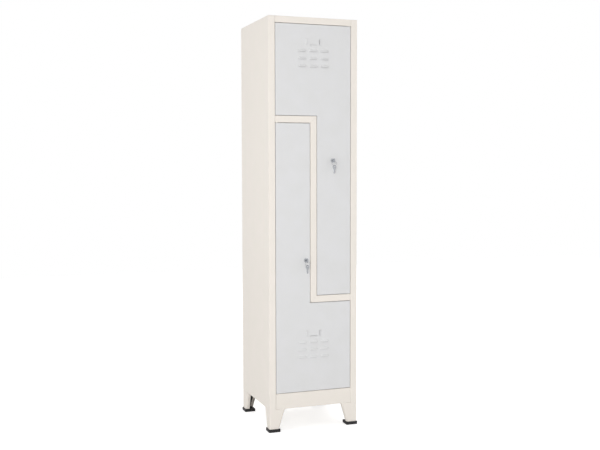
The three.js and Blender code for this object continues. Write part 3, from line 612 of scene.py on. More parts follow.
for hand, side in (("left", -1.0), ("right", 1.0)):
    flip = np.array([side, 1.0])
    wall, lap = OUTER - HALF, OUTER - HALF - SKIN
    outline = bent(flip * [(OUTER - REAR_FLANGE, DEPTH - HALF), (wall, DEPTH - HALF),
                           (wall, POST_RETURN + SEAM + LAP_STEP), (lap, POST_RETURN + SEAM),
                           (lap, POST_RETURN - LAP)])
    shell(f"{hand}_side_panel", "z", (outline, LEG_HEIGHT), (outline, HEIGHT - SKIN))
    outline = bent(flip * [(wall, POST_RETURN), (wall, HALF), (OPENING + HALF, HALF),
                           (OPENING + HALF, STILE_DEPTH - HALF), (OPENING - STILE_LIP, STILE_DEPTH - HALF)])
    end, back = OPENING - SEAM, STILE_DEPTH - HALF
    cut = trimmed(outline, side * outline[:, 0] < end, (side * end, back - side * HALF),
                  (side * end, back + side * HALF))
    shell(f"{hand}_front_post", "z", (cut, LEG_HEIGHT), (cut, FLOOR + SEAM - STEP),
          (outline, FLOOR + SEAM), (outline, HEIGHT - SKIN))

# %% Roof with its top rail, and floor with its apron
def between_posts(name, outline, cut, ends):
    """A sheet whose full section runs between the posts and whose cut section goes on to both ends."""
    inner = OPENING - SEAM
    shell(name, "x", (cut, -ends), (cut, -inner), (outline, -inner), (outline, inner), (cut, inner),
          (cut, ends))


roof = bent([(RAIL - HALF, LINTEL - STOP_LIP), (RAIL - HALF, LINTEL + HALF), (HALF, LINTEL + HALF),
             (HALF, HEIGHT - HALF), (DEPTH - HALF, HEIGHT - HALF), (DEPTH - HALF, LINTEL)])
edges = np.where(roof[:, :1] < DEPTH / 2, [[0.0, HEIGHT - SHEET]], [[DEPTH, HEIGHT - SHEET]])
between_posts("roof_panel", roof, np.where(roof[:, 1:] < HEIGHT - SHEET - SAME_POINT, edges, roof), OUTER)

APRON_FLANGE, REAR_EDGE, REAR_DROP = 16.0, 407.4, 14.0
base = bent([(APRON_FLANGE, LEG_HEIGHT + HALF), (HALF, LEG_HEIGHT + HALF), (HALF, SILL - HALF),
             (RAIL - HALF, SILL - HALF), (RAIL - HALF, FLOOR - HALF), (REAR_EDGE, FLOOR - HALF),
             (REAR_EDGE, FLOOR - REAR_DROP)])
notch = STILE_DEPTH + SEAM
cut = trimmed(base, base[:, 0] < notch, (notch, FLOOR), (notch, FLOOR - SHEET))
between_posts("bottom_panel", base, cut, OUTER - SKIN)

# %% [markdown]
# ## The Z divider
#
# Three hat-shaped bars make the Z. They meet in mitres at 45 degrees, as picture frames do, and the thin
# mitre lines show on the front. Each bar carries a lip on both sides that stops a door. A mitre needs no
# cutting here: the end of the bar is where its length is a function of the place across it.

# %% Mitred bars
UPPER_BAR, LOWER_BAR, HALF_BAR = 1377.0, 563.0, BAR / 2
MITRE = SEAM / math.sqrt(2.0)


def hat(low, high):
    """Outline of a hat section across a bar, as (depth, place across)."""
    return bent([(RAIL - HALF, low - STOP_LIP), (RAIL - HALF, low + HALF), (HALF, low + HALF),
                 (HALF, high - HALF), (RAIL - HALF, high - HALF), (RAIL - HALF, high + STOP_LIP)])


bar = hat(UPPER_BAR - BAR, UPPER_BAR)
shell("upper_divider_bar", "x", (bar, SEAM - OPENING),
      (bar, lambda p: HALF_BAR + p[:, 1] - UPPER_BAR - MITRE))
bar = hat(LOWER_BAR, LOWER_BAR + BAR)
shell("lower_divider_bar", "x", (bar, lambda p: p[:, 1] - LOWER_BAR - HALF_BAR + MITRE),
      (bar, OPENING - SEAM))
bar = hat(-HALF_BAR, HALF_BAR)[:, ::-1]
shell("vertical_divider_bar", "z", (bar, lambda p: LOWER_BAR + p[:, 0] + HALF_BAR + MITRE),
      (bar, lambda p: UPPER_BAR + p[:, 0] - HALF_BAR - MITRE))

# %% [markdown]
# ## Legs and shoes
#
# A leg is pressed from 1.5 mm sheet: two wings that widen upwards and flare into the body with a small
# radius, their free edges rolled back so that they are stiff and safe to touch. The black plastic shoe is a
# block with a groove for the sheet, and from it a thin black sheet reaches up inside the leg: painted shade
# that darkens the leg's inner faces, where shade falls. The same pressing stands at the front and, turned a
# quarter, at the back, so the wide wing goes from the front to the side.

# %% Leg sections
LEG_SHEET, LEG_WIDE, LEG_NARROW, TAPER, FILLET, LEG_RETURN = 1.5, 45.5, 43.0, 0.31, 9.0, 18.0
GUSSET_GAP, GUSSET_CUT, SHOE_HEIGHT, SHOE_FLOOR = 0.05, 22.0, 14.0, 4.0
LEG_RADII = [0.0, 8.0, 1.8, 8.0, 0.0]


def leg_line(z, wings, spare=0.0):
    """Middle line of a leg at a height. Each wing grows evenly above the shoe, and in the fillet by the
    radius less the root of its square less the square of the height into it."""
    top = LEG_HEIGHT - SEAM
    into = np.clip(z - (top - FILLET), 0.0, FILLET)
    growth = max(z - SHOE_HEIGHT, 0.0) * TAPER + FILLET - np.sqrt(FILLET ** 2 - into ** 2)
    across, deep = (wing + growth - LEG_SHEET / 2 for wing in wings)
    thick, back = LEG_SHEET / 2, LEG_RETURN + spare
    return np.array([(across, back), (across, thick), (thick, thick), (thick, deep), (back, deep)])


def leg_parts(wings):
    """The leg's sheet from inside the shoe to the body, and the gusset welded across its top."""
    top = LEG_HEIGHT - SEAM
    fillet = top - FILLET + FILLET * np.sin(np.linspace(0.0, np.pi / 2, 9))
    heights = [SHOE_FLOOR + SEAM, SHOE_HEIGHT, *fillet]
    sheet = through("z", *((bent(leg_line(z, wings), LEG_SHEET, LEG_RADII), z) for z in heights))
    near, (wide, deep), cut = LEG_SHEET + GUSSET_GAP, wings, GUSSET_CUT
    gusset = np.array([(near, near), (wide, near), (wide, cut), (cut, deep), (near, deep)])
    return sheet + through("z", (gusset, top - LEG_SHEET), (gusset, top))


print("leg:", count_faces(leg_parts((LEG_WIDE, LEG_NARROW))), "faces")

# %% Shoes
SHOE_PROUD, SHOE_BACK, SHOE_EDGE = 3.0, 2.5, 1.2
# The black sheet from the shoe up inside the leg is painted shade on the leg's inner faces: its thickness,
# top, setback from the wing edges and bend.
PAINTED_SHADE, PAINTED_SHADE_TOP, PAINTED_SHADE_STOP, PAINTED_SHADE_BEND = 1.6, LEG_HEIGHT - 8.0, 8.0, 1.8


def rounded_side(axis, outline, low, high, radius, steps, way=1.0):
    """The side of a flat piece with both its edges rounded: the rings lie in from the outline by the radius
    times one less the sine of an angle, and off the face by the radius times one less its cosine."""
    turn = np.radians(np.linspace(0.0, 90.0, steps))
    inset, rise = radius * (1.0 - np.sin(turn)), radius * (1.0 - np.cos(turn))
    levels, insets = np.concatenate([low + rise, high - rise[::-1]]), np.concatenate([inset, inset[::-1]])
    return walls(axis, *((mitred(outline, way * i), level) for level, i in zip(levels, insets)))


def shoe_parts(wings):
    """Block with rounded edges; its top face has the groove of the leg and carries the black sheet of painted
    shade that reaches up inside the leg.
    """
    wide, deep = (wing + SHOE_BACK for wing in wings)
    block = np.array([(-SHOE_PROUD, -SHOE_PROUD), (wide, -SHOE_PROUD), (wide, deep), (-SHOE_PROUD, deep)])
    groove = bent(leg_line(0.0, wings, SEAM), LEG_SHEET + 2 * SEAM, LEG_RADII)
    near, stop, painted_shade = LEG_SHEET + 2 * SEAM + PAINTED_SHADE / 2, PAINTED_SHADE_STOP + SEAM, []
    for z in (SHOE_HEIGHT, PAINTED_SHADE_TOP):
        line = leg_line(z, wings)
        corners = [(line[0, 0] - stop, near), (near, near), (near, line[3, 1] - stop)]
        painted_shade.append((bent(corners, PAINTED_SHADE, PAINTED_SHADE_BEND), z))
    face = mitred(block, SHOE_EDGE)
    return [
        rounded_side("z", block, 0.0, SHOE_HEIGHT, SHOE_EDGE, 7),
        flat_sheet("z", face, 0.0), flat_sheet("z", face, SHOE_HEIGHT, [groove, painted_shade[0][0]]),
        walls("z", (groove, SHOE_HEIGHT), (groove, SHOE_FLOOR)), flat_sheet("z", groove, SHOE_FLOOR),
        walls("z", *painted_shade), flat_sheet("z", *painted_shade[1]),
    ]


print("shoe:", count_faces(shoe_parts((LEG_WIDE, LEG_NARROW))), "faces")

# %% Four legs, four shoes
def moved(parts, place, flip=(1, 1, 1)):
    """Parts drawn about their own origin, flipped where an axis says -1, and moved to a place."""
    return [(points * np.array(flip, float) + np.array(place, float), faces) for points, faces in parts]


# The leg is drawn for the front left corner; at the others it stands mirrored.
for end, y, way, wings in (("front", 0.0, 1, (LEG_WIDE, LEG_NARROW)),
                           ("back", DEPTH, -1, (LEG_NARROW, LEG_WIDE))):
    for hand, side in (("left", -1), ("right", 1)):
        name, corner, flip = f"{end}_{hand}", (side * OUTER, y, 0.0), (-side, way, 1)
        fitted(f"{name}_leg_sheet", moved(leg_parts(wings), corner, flip), "carcass", "cream_coat",
               f"{name}_leg")
        # Each shoe carries the black sheet of painted shade inside its leg.
        fitted(f"{name}_shoe_with_painted_shade", moved(shoe_parts(wings), corner, flip), "carcass", "black_plastic",
               f"{name}_shoe", angle=50.0)

# %% [markdown]
# ## Soft corners, turned pieces and plates
#
# The small hardware is turned, stamped or moulded, and none of it has a truly sharp edge. Three functions
# cover it: one rounds the corners of an outline, one turns a profile about an axis, and one makes a flat
# plate whose edges are softened and which may have holes and shallow pockets.

# %% Soft corners and turned pieces
def softened(corners, radius, steps=5):
    """Rounds corners: the curve's weights on the point before, the corner and the point after are the squares
    and double product of one less t and t. Repeated points are dropped."""
    corners = np.asarray(corners, float)
    radius = np.broadcast_to(radius, len(corners))[:, None]
    back, ahead = (np.roll(corners, shift, axis=0) - corners for shift in (1, -1))
    start, end = (corners + radius * way / np.linalg.norm(way, axis=1, keepdims=True)
                  for way in (back, ahead))
    t = np.linspace(0.0, 1.0, steps)[None, :, None]
    curve = (1 - t) ** 2 * start[:, None] + 2 * t * (1 - t) * corners[:, None] + t ** 2 * end[:, None]
    return distinct(curve.reshape(-1, 2))


def turned_points(radius, along, axis, place=(0, 0, 0), steps=48):
    """Turns a profile: across the axis lie the radius times the cosine and the sine of the angle."""
    angle = np.linspace(0.0, 2.0 * np.pi, steps, endpoint=False)
    across, up = radius * np.cos(angle), radius * np.sin(angle)
    along = np.broadcast_to(along, across.shape)
    order = {"x": (along, across, up), "y": (across, along, up), "z": (across, up, along)}[axis]
    return np.stack(order, axis=-1) + np.asarray(place, float)


def turned(profile, axis, place=(0, 0, 0)):
    """A surface turned about an axis from a profile of (radius, place along the axis)."""
    radius, along = np.asarray(profile, float).T[:, :, None]
    return grid(turned_points(radius, along, axis, place), wrap=True)


def ring_of(profile):
    """A profile closed on itself, for a piece with a bore."""
    return np.concatenate([profile, profile[:1]])


print("softened square:", len(softened([(0, 0), (9, 0), (9, 9), (0, 9)], 1.0)), "points")

# %% Plates
def rectangle(across, up):
    """Four corners about the origin, half a width across and half a height up."""
    return np.array([(-across, -up), (across, -up), (across, up), (-across, up)])


def plate(axis, outline, holes, low, high, edge, pockets=(), depth=0.0):
    """A flat plate with rounded edges, its holes cut through it and its pockets sunk into both faces."""
    parts = [rounded_side(axis, loop, low, high, edge, 4, way)
             for loop, way in ((outline, 1.0), *((hole, -1.0) for hole in holes))]
    openings = [*(mitred(hole, -edge) for hole in holes), *pockets]
    for face, floor in ((low, low + depth), (high, high - depth)):
        parts.append(flat_sheet(axis, mitred(outline, edge), face, openings))
        for pocket in pockets:
            base = mitred(pocket, 0.5 * depth)
            parts += [walls(axis, (pocket, face), (base, floor)), flat_sheet(axis, base, floor)]
    return parts


print("plain plate:", count_faces(plate("z", rectangle(9.0, 9.0), [], 0.0, 2.0, 0.3)), "faces")

# %% [markdown]
# ## Cam locks
#
# Each door has a cam lock. Its body is a zinc die casting with a polished, nickel-chrome plated bezel and a
# threaded barrel with two flats, which keep it from turning in the door. A nut holds it. The plug turns in
# it and carries the cam, a stamped lever that hooks behind the bar. The thread is cut into the barrel's
# grid: the radius loses a squared sine of the turns counted along the axis less the turns round it.

# %% Lock body
BEZEL, BEZEL_FACE, DISH, DISH_FLOOR, BORE = 11.0, -2.6, 7.7, -1.4, 6.25
BARREL, BARREL_FLAT, BARREL_END, BARREL_STEPS, BARREL_ROWS = 9.0, 8.0, 19.2, 64, 80
THREAD_PITCH, THREAD_DEPTH, THREAD_START, MARGIN = 1.5, 0.5, 1.5, 0.01


def lock_body_parts():
    """Bezel with a dished middle, then the threaded barrel, as one profile turned about the lock's axis. Its
    flats limit the sideways place to half the width across them."""
    front = softened([(BORE, BARREL_END), (BORE, DISH_FLOOR), (DISH, DISH_FLOOR), (DISH, BEZEL_FACE),
                      (BEZEL, BEZEL_FACE), (BEZEL, -SEAM), (BARREL, -SEAM)],
                     [0.0, 0.25, 0.15, 0.4, 1.3, 0.2, 0.0])
    depth = np.linspace(-SEAM, BARREL_END, BARREL_ROWS)[1:]
    profile = np.concatenate([front, np.insert(depth[:, None], 0, BARREL, axis=1)])
    radius, along = ring_of(profile).T[:, :, None]
    angle = np.linspace(0.0, 2.0 * np.pi, BARREL_STEPS, endpoint=False)
    turns = along / THREAD_PITCH - angle / (2.0 * np.pi)
    cut = (radius > BARREL - MARGIN) & (along > THREAD_START) & (along < BARREL_END - MARGIN)
    threaded = radius - THREAD_DEPTH * np.sin(np.pi * turns) ** 2 * cut
    points = turned_points(threaded, along, "y", steps=BARREL_STEPS)
    flat = np.clip(points[..., 0], -BARREL_FLAT, BARREL_FLAT)
    points[..., 0] = np.where(along > -0.5 * SEAM, flat, points[..., 0])
    return [grid(points, wrap=True)]


print("lock body:", count_faces(lock_body_parts()), "faces")

# %% Nut
NUT_RADIUS, NUT_THICK, NUT_BORE, NUT_LAND, NUT_SLOPE, NUT_STEPS = 13.0, 3.5, 9.3, 0.2, 0.55, 72


def nut_parts():
    """Hexagon nut: round its outline the radius is the half width over the cosine of the angle from the
    middle of the flat, and the cone of the chamfer takes height off in proportion to what sticks out."""
    angle = np.arange(NUT_STEPS) * 360.0 / NUT_STEPS
    flat = NUT_RADIUS * math.cos(math.radians(30.0))
    hexagon = flat / np.cos(np.radians(angle % 60.0 - 30.0))
    chamfer = NUT_SLOPE * (hexagon - flat + NUT_LAND)
    near, far, full = SKIN, SKIN + NUT_THICK, np.ones(NUT_STEPS)
    bore, land = NUT_BORE * full, (flat - NUT_LAND) * full
    radius = np.stack([bore, land, hexagon, hexagon, land, bore])
    along = np.stack([near * full, near * full, near + chamfer, far - chamfer, far * full, far * full])
    return [grid(turned_points(ring_of(radius), ring_of(along), "y", steps=NUT_STEPS), wrap=True)]


print("nut:", count_faces(nut_parts()), "faces")

# %% Plug
PLUG, PLUG_FRONT, PLUG_HEAD, PLUG_ROUND, HEAD_BACK, PLUG_END = 6.0, -3.3, 7.3, 0.5, -1.7, 19.5
MOUTH, SLOT, SLOT_LEAD, SLOT_END = (1.65, 3.85), (1.3, 3.5), 0.4, 14.4
TAIL, TAIL_END, TAPPED_END, SCREW_SHANK = 2.8, 22.1, 16.1, 1.8


def plug_parts():
    """The plug: a turned head and shaft, the keyway with a lead-in for the key, the square tail and the hole
    of the cam's screw."""
    rim = PLUG_HEAD - PLUG_ROUND
    head, shaft, tapped = (circle((0, 0), radius, 48) for radius in (rim, PLUG, SCREW_SHANK + SEAM))
    side = softened([(rim, PLUG_FRONT), (PLUG_HEAD, PLUG_FRONT), (PLUG_HEAD, HEAD_BACK), (PLUG, HEAD_BACK),
                     (PLUG, PLUG_END)], [0.0, 0.49, 0.1, 0.0, 0.0])
    mouth, slot = softened(rectangle(*MOUTH), 0.5), softened(rectangle(*SLOT), 0.4)
    tail = softened(rectangle(TAIL, TAIL), 0.3)
    return [
        turned(side, "y"), flat_sheet("y", head, PLUG_FRONT, [mouth]),
        walls("y", (mouth, PLUG_FRONT), (slot, PLUG_FRONT + SLOT_LEAD), (slot, SLOT_END)),
        flat_sheet("y", slot, SLOT_END), flat_sheet("y", shaft, PLUG_END, [tail]),
        walls("y", (tail, PLUG_END), (tail, TAIL_END)), flat_sheet("y", tail, TAIL_END, [tapped]),
        flat_sheet("y", tapped, TAPPED_END), walls("y", (tapped, TAIL_END), (tapped, TAPPED_END)),
    ]


print("plug:", count_faces(plug_parts()), "faces")

# %% Cam and screw
CAM_NEAR, CAM_FAR, CAM_RADIUS, CAM_TIP, CAM_EDGE, CAM_OVERLAP = 19.8, 21.8, 9.0, 7.0, 0.25, 7.0
SCREW_SEAT, SCREW_HEAD, SCREW_LENGTH, SCREW_RISE, SCREW_RIM = 22.4, 5.0, 6.0, 2.4, 2.9
CROSS_HALF, CROSS_REACH, CROSS_FLOOR, CROSS_TAPER = 0.7, 2.3, 0.8, 0.7


def cam_parts(length):
    """Stamped lever with round ends and a square hole."""
    outline = np.concatenate([arc((0, 0), CAM_RADIUS, 0, 180, 24),
                              arc((0, CAM_TIP - length), CAM_TIP, 180, 360, 20)])
    hole = softened(rectangle(TAIL + SEAM, TAIL + SEAM), 0.2)
    return plate("y", outline, [hole], CAM_NEAR, CAM_FAR, CAM_EDGE)


def screw_parts():
    """Pan head with a cross recess that tapers to its floor. The cross is one arm turned four times."""
    arm = np.array([(CROSS_REACH, -CROSS_HALF), (CROSS_REACH, CROSS_HALF), (CROSS_HALF, CROSS_HALF)])
    cross = np.concatenate([arm, arm[:, ::-1] * [-1, 1], -arm, arm[:, ::-1] * [1, -1]])
    tip, top = SCREW_SEAT - SCREW_LENGTH, SCREW_SEAT + SCREW_RISE
    head = softened([(0.0, tip), (SCREW_SHANK, tip), (SCREW_SHANK, SCREW_SEAT), (SCREW_HEAD, SCREW_SEAT),
                     (SCREW_HEAD, top), (SCREW_RIM, top)], [0, 0.3, 0, 0.2, 1.9, 0])
    base, floor = CROSS_TAPER * cross, SCREW_SEAT + CROSS_FLOOR
    return [turned(head, "y"), flat_sheet("y", circle((0, 0), SCREW_RIM, 48), top, [cross]),
            walls("y", (cross, top), (base, floor)), flat_sheet("y", base, floor)]


print("screw:", count_faces(screw_parts()), "faces")

# %% [markdown]
# ## Keys and rings
#
# A key is stamped from 2 mm brass, cut along one edge, milled with a groove and nickel plated. One is in each
# plug. A second hangs from it on a split ring, which is one flat wire wound twice. The wire is a profile
# carried along a helix that keeps to one layer, steps over to the other within a short arc and goes on.

# %% Key
KEY_THICK, KEY_EDGE, BOW, NECK, NECK_HALF = 2.0, 0.16, 9.0, 3.0, 4.2
BLADE, BLADE_HALF, BLADE_TIP = 16.0, 3.2, 1.6
CUT_SHARES, CUT_DEPTHS, CUT_HALF = np.array([0.16, 0.36, 0.56, 0.76]), np.array([1.4, 0.8, 1.3, 0.6]), 1.3
GROOVE, GROOVE_DEPTH = [(0.8, 0.3), (14.6, 0.3), (14.6, 1.5), (0.8, 1.5)], 0.5
KEY_SEAT, HOLE_BACK, BOW_HOLE, SPARE_TWIST = -3.6, 15.0, 3.1, 35.0


def key_parts():
    """The key in the plane of depth and height, its shoulder at the origin and its blade pointing back."""
    meet = math.degrees(math.asin(NECK_HALF / BOW))
    bow = arc((-NECK - BOW, 0.0), BOW, meet, 360.0 - meet, 44)
    cuts = np.stack([np.stack([BLADE * CUT_SHARES + shift, deep * CUT_DEPTHS - BLADE_HALF], axis=-1)
                     for shift, deep in ((-CUT_HALF, 0), (0, 1), (CUT_HALF, 0))], axis=1).reshape(-1, 2)
    tip = [(BLADE - BLADE_TIP, -BLADE_HALF), (BLADE, BLADE_TIP - BLADE_HALF), (BLADE, BLADE_HALF - BLADE_TIP),
           (BLADE - BLADE_TIP, BLADE_HALF)]
    blade = [(0, -NECK_HALF), (0, -BLADE_HALF), *cuts, *tip, (0, BLADE_HALF), (0, NECK_HALF)]
    radius = [*np.zeros(len(bow)), 0.5, 0.2, *np.full(len(cuts), 0.22), *np.full(len(tip), 0.5), 0.2, 0.5]
    outline = softened(np.concatenate([bow, blade]), radius)
    hole = circle((-HOLE_BACK, 0.0), BOW_HOLE, 28)
    return plate("x", outline, [hole], -KEY_THICK / 2, KEY_THICK / 2, KEY_EDGE, [softened(GROOVE, 0.5)],
                 GROOVE_DEPTH)


def hung(parts):
    """A key turned about its hole to hang straight down, then twisted a little about the upright."""
    c, s = math.cos(math.radians(SPARE_TWIST)), math.sin(math.radians(SPARE_TWIST))
    return [(np.stack([x * c - z * s, x * s + z * c, -(y + HOLE_BACK)], axis=-1), faces)
            for (x, y, z), faces in ((points.T, faces) for points, faces in parts)]


print("key:", count_faces(key_parts()), "faces")

# %% Split ring
RING_RADIUS, RING_DROP, SPARE_DROP = 10.5, 12.5, 25.0
WIRE_WIDE, WIRE_THICK, WIRE_LAYER = 0.66, 0.38, 0.8
WIRE_START, WIRE_END, WIRE_ANGLE, WIRE_POINT, CROSSING, CROSSING_LENGTH = 0.05, 1.95, 0.7, 0.015, 0.96, 0.08


def split_ring_parts():
    """Two turns of flat wire. The layer moves from front to back within a twelfth of a turn, and both ends
    narrow to a point within a tenth of a radian."""
    t = np.linspace(WIRE_START, WIRE_END, 230)[:, None]
    around = 2.0 * np.pi * t - WIRE_ANGLE
    section = np.linspace(0.0, 2.0 * np.pi, 12, endpoint=False)
    ends = np.sqrt(np.clip(np.minimum(t - WIRE_START, WIRE_END - t) / WIRE_POINT, 0.0, 1.0))
    radius = RING_RADIUS + WIRE_WIDE * ends * np.cos(section)
    layer = WIRE_LAYER * smooth_rise(np.clip((t - CROSSING) / CROSSING_LENGTH, 0.0, 1.0)) - WIRE_LAYER / 2
    depth = layer + WIRE_THICK * ends * np.sin(section)
    return [grid(np.stack([radius * np.cos(around), depth, radius * np.sin(around)], axis=-1), wrap=True)]


print("split ring:", count_faces(split_ring_parts()), "faces")

# %% Both locks with their keys
for name, (x, z) in (("upper", UPPER_LOCK), ("lower", LOWER_LOCK)):
    leaf, lock, hole = f"{name}_leaf", f"{name}_lock", KEY_SEAT - HOLE_BACK
    cam_length = abs(x) - HALF_BAR - STOP_LIP + CAM_OVERLAP
    for made, title, body, slot_name, node, back, drop in (
        (lock_body_parts(), "threaded_barrel", leaf, "lock_chrome", "lock_body", 0, 0),
        (nut_parts(), "hexagon_nut", leaf, "zinc_steel", "lock_nut", 0, 0),
        (plug_parts(), "plug_with_keyway", lock, "lock_chrome", "lock_plug", 0, 0),
        (cam_parts(cam_length), "cam_lever", lock, "zinc_steel", "lock_cam", 0, 0),
        (screw_parts(), "cross_head_screw", lock, "zinc_steel", "cam_screw", 0, 0),
        (key_parts(), "cut_key", f"{lock}_key", "lock_chrome", "key", KEY_SEAT, 0),
        (split_ring_parts(), "split_ring", f"{name}_ring", "lock_chrome", "key_ring", hole, RING_DROP),
        (hung(key_parts()), "hanging_key", f"{name}_spare", "lock_chrome", "spare_key", hole, SPARE_DROP),
    ):
        piece = fitted(f"{name}_{title}", moved(made, (x, back, z - drop)), body, slot_name,
                       f"{name}_{node}", angle=35.0)
        # The keys and the ring take the darker key nickel, whose colour paints in dark reflections.
        if "key" in node:
            piece.data.materials[0] = key_nickel

# %% [markdown]
# ## Hinges, stiffeners and buffers
#
# Headed steel pins stand in the frame, and nylon bushes in the doors turn on them. A hat-shaped stiffener is
# welded upright behind each face, so that it stays flat over its long edge. Small rubber domes on the stop
# lips keep the doors quiet.

# %% Pins, bushes and stiffeners
PIN, PIN_HEAD, PIN_REACH, PIN_CAP = 3.0, 5.2, 7.0, 2.0
BUSH_BORE, BUSH_OUTER, BUSH_FLANGE, BUSH_REACH = 3.15, 4.25, 6.0, 6.0
RIB_MIDDLE, RIB_HALF, RIB_DEPTH, RIB_FOOT, RIB_GAP = 128.0, 15.0, 11.0, 9.0, 16.0
LEAF_EDGE, PIN_SEAT, BUSH_SEAT = OPENING - DOOR_GAP, DOOR_GAP + SHEET + SEAM, DOOR_GAP - SEAM

pin = softened([(0, -PIN_REACH), (PIN, -PIN_REACH), (PIN, PIN_SEAT), (PIN_HEAD, PIN_SEAT),
                (PIN_HEAD, PIN_SEAT + PIN_CAP), (0, PIN_SEAT + PIN_CAP)], [0, 0.8, 0, 0.2, 1.2, 0])
bush = ring_of(softened([(BUSH_BORE, -BUSH_REACH), (BUSH_OUTER, -BUSH_REACH), (BUSH_OUTER, SEAM),
                         (BUSH_FLANGE, SEAM), (BUSH_FLANGE, BUSH_SEAT), (BUSH_BORE, BUSH_SEAT)],
                        [0.2, 0.4, 0, 0.3, 0.3, 0.2]))
base, crown = SKIN + HALF, SKIN + RIB_DEPTH - HALF
for name, side, low, high in (("upper", 1.0, LOWER_BAR + BAR + DOOR_GAP, LINTEL - DOOR_GAP),
                              ("lower", -1.0, SILL + DOOR_GAP, UPPER_BAR - BAR - DOOR_GAP)):
    for end, level, up in (("bottom", low, -1.0), ("top", high, 1.0)):
        place = (side * (LEAF_EDGE - PIVOT_INSET), PIVOT_SETBACK, level)
        fitted(f"{name}_{end}_hinge_pin", [turned(pin * [1.0, up], "z", place)],
               "carcass", "zinc_steel", f"{name}_door_{end}_pin")
        fitted(f"{name}_{end}_flanged_bush", [turned(bush * [1.0, up], "z", place)],
               f"{name}_leaf", "bush_nylon", f"{name}_door_{end}_bush")
    rib = bent([(side * RIB_MIDDLE + across, deep) for across, deep in (
        (-RIB_HALF - RIB_FOOT, base), (-RIB_HALF, base), (-RIB_HALF, crown), (RIB_HALF, crown),
        (RIB_HALF, base), (RIB_HALF + RIB_FOOT, base))])
    fitted(f"{name}_hat_stiffener", through("z", (rib, low + RIB_GAP), (rib, high - RIB_GAP)),
           f"{name}_leaf", "grey_coat", f"{name}_door_stiffener")

# %% Rubber buffers on the stop lips
DOME, BUFFER_INSET, BUFFER_LIP, BUFFER_RISE = 3.5, 26.0, 5.5, 108.0
dome = softened([(0, DOOR_DEPTH + SEAM), (DOME, DOOR_DEPTH + SEAM), (DOME, RAIL - SKIN), (0, RAIL - SKIN)],
                [0, 1.7, 0.3, 0])
for name, x, z in (
    ("upper_door_rail", -OPENING + BUFFER_INSET, LINTEL - BUFFER_LIP),
    ("upper_door_bar", HALF_BAR + BUFFER_LIP, LOWER_BAR + BAR + BUFFER_RISE),
    ("lower_door_sill", OPENING - BUFFER_INSET, SILL + BUFFER_LIP),
    ("lower_door_bar", -HALF_BAR - BUFFER_LIP, UPPER_BAR - BAR - BUFFER_RISE),
):
    fitted(f"{name}_rubber_dome", [turned(dome, "y", (x, 0, z))], "carcass", "buffer_rubber",
           f"{name}_buffer")

# %% [markdown]
# ## Inside the body
#
# Two shelves and an upright partition share out the Z. Each is a folded sheet. The shelves are notched round
# the posts, so their outer fold starts behind them. A coat rail of thin tube hangs in each wide space
# between moulded sockets.

# %% Shelves and partition
SHELF_TOP, SHELF_LOW, SHELF_BACK, SHELF_FLANGE = UPPER_BAR - HALF_BAR, LOWER_BAR + HALF_BAR, 406.7, 14.0
notch = OPENING - STILE_LIP - SEAM

for name, side, level in (("upper", -1.0, SHELF_TOP - HALF), ("lower", 1.0, SHELF_LOW + HALF)):
    fold = level + side * (SHELF_FLANGE - HALF)
    near, far = side * SKIN, side * (OUTER - SKIN - HALF)
    outline = bent([(near, fold), (near, level), (far, level), (far, fold)])
    cut = trimmed(outline, side * outline[:, 0] > notch, (side * notch, level + side * HALF),
                  (side * notch, level - side * HALF))
    sheet = through("y", (cut, SKIN), (cut, STILE_DEPTH + SEAM - STEP), (outline, STILE_DEPTH + SEAM),
                    (outline, SHELF_BACK))
    fitted(f"{name}_folded_shelf", sheet, "carcass", "cream_coat", f"{name}_shelf")

wall = bent([(0.0, SKIN), (0.0, REAR_EDGE), (SHELF_FLANGE, REAR_EDGE)])
fitted("upright_partition_sheet", through("z", (wall, SHELF_LOW), (wall, SHELF_TOP)),
       "carcass", "cream_coat", "vertical_partition")

# %% Back panel with the weld marks of the partition
BACK_NEAR, BACK_FAR = 408.1, 408.9
WELD_RADIUS, WELD_DEPTH, WELD_STEPS, WELD_COUNT, WELD_INSET = 3.2, 0.3, 20, 9, 30.0


def weld_marks(centres):
    """Shallow round dents left by the welding tips: the depth is the full one times one less the fourth power
    of the share of the radius. Gives parts and hole loops."""
    share = np.linspace(1.0, 0.0, 6)[:, None]
    sunk = BACK_FAR - WELD_DEPTH * (1.0 - share ** 4)
    parts = [grid(turned_points(WELD_RADIUS * share, sunk, "y", (x, 0, z), WELD_STEPS), wrap=True)
             for x, z in centres]
    return parts, [circle(centre, WELD_RADIUS, WELD_STEPS) for centre in centres]


edge, low, high = OUTER - SHEET - FOLD, LEG_HEIGHT, HEIGHT - SKIN - FOLD
outline = np.array([(-edge, low), (edge, low), (edge, high), (-edge, high)])
welds = np.linspace(SHELF_LOW + WELD_INSET, SHELF_TOP - WELD_INSET, WELD_COUNT)
dents, loops = weld_marks([(SHELF_FLANGE / 2, z) for z in welds])
sheet = [walls("y", (outline, BACK_NEAR), (outline, BACK_FAR)), flat_sheet("y", outline, BACK_NEAR),
         flat_sheet("y", outline, BACK_FAR, loops), *dents]
fitted("back_panel_sheet", sheet, "carcass", "cream_coat", "back_panel", angle=30.0)

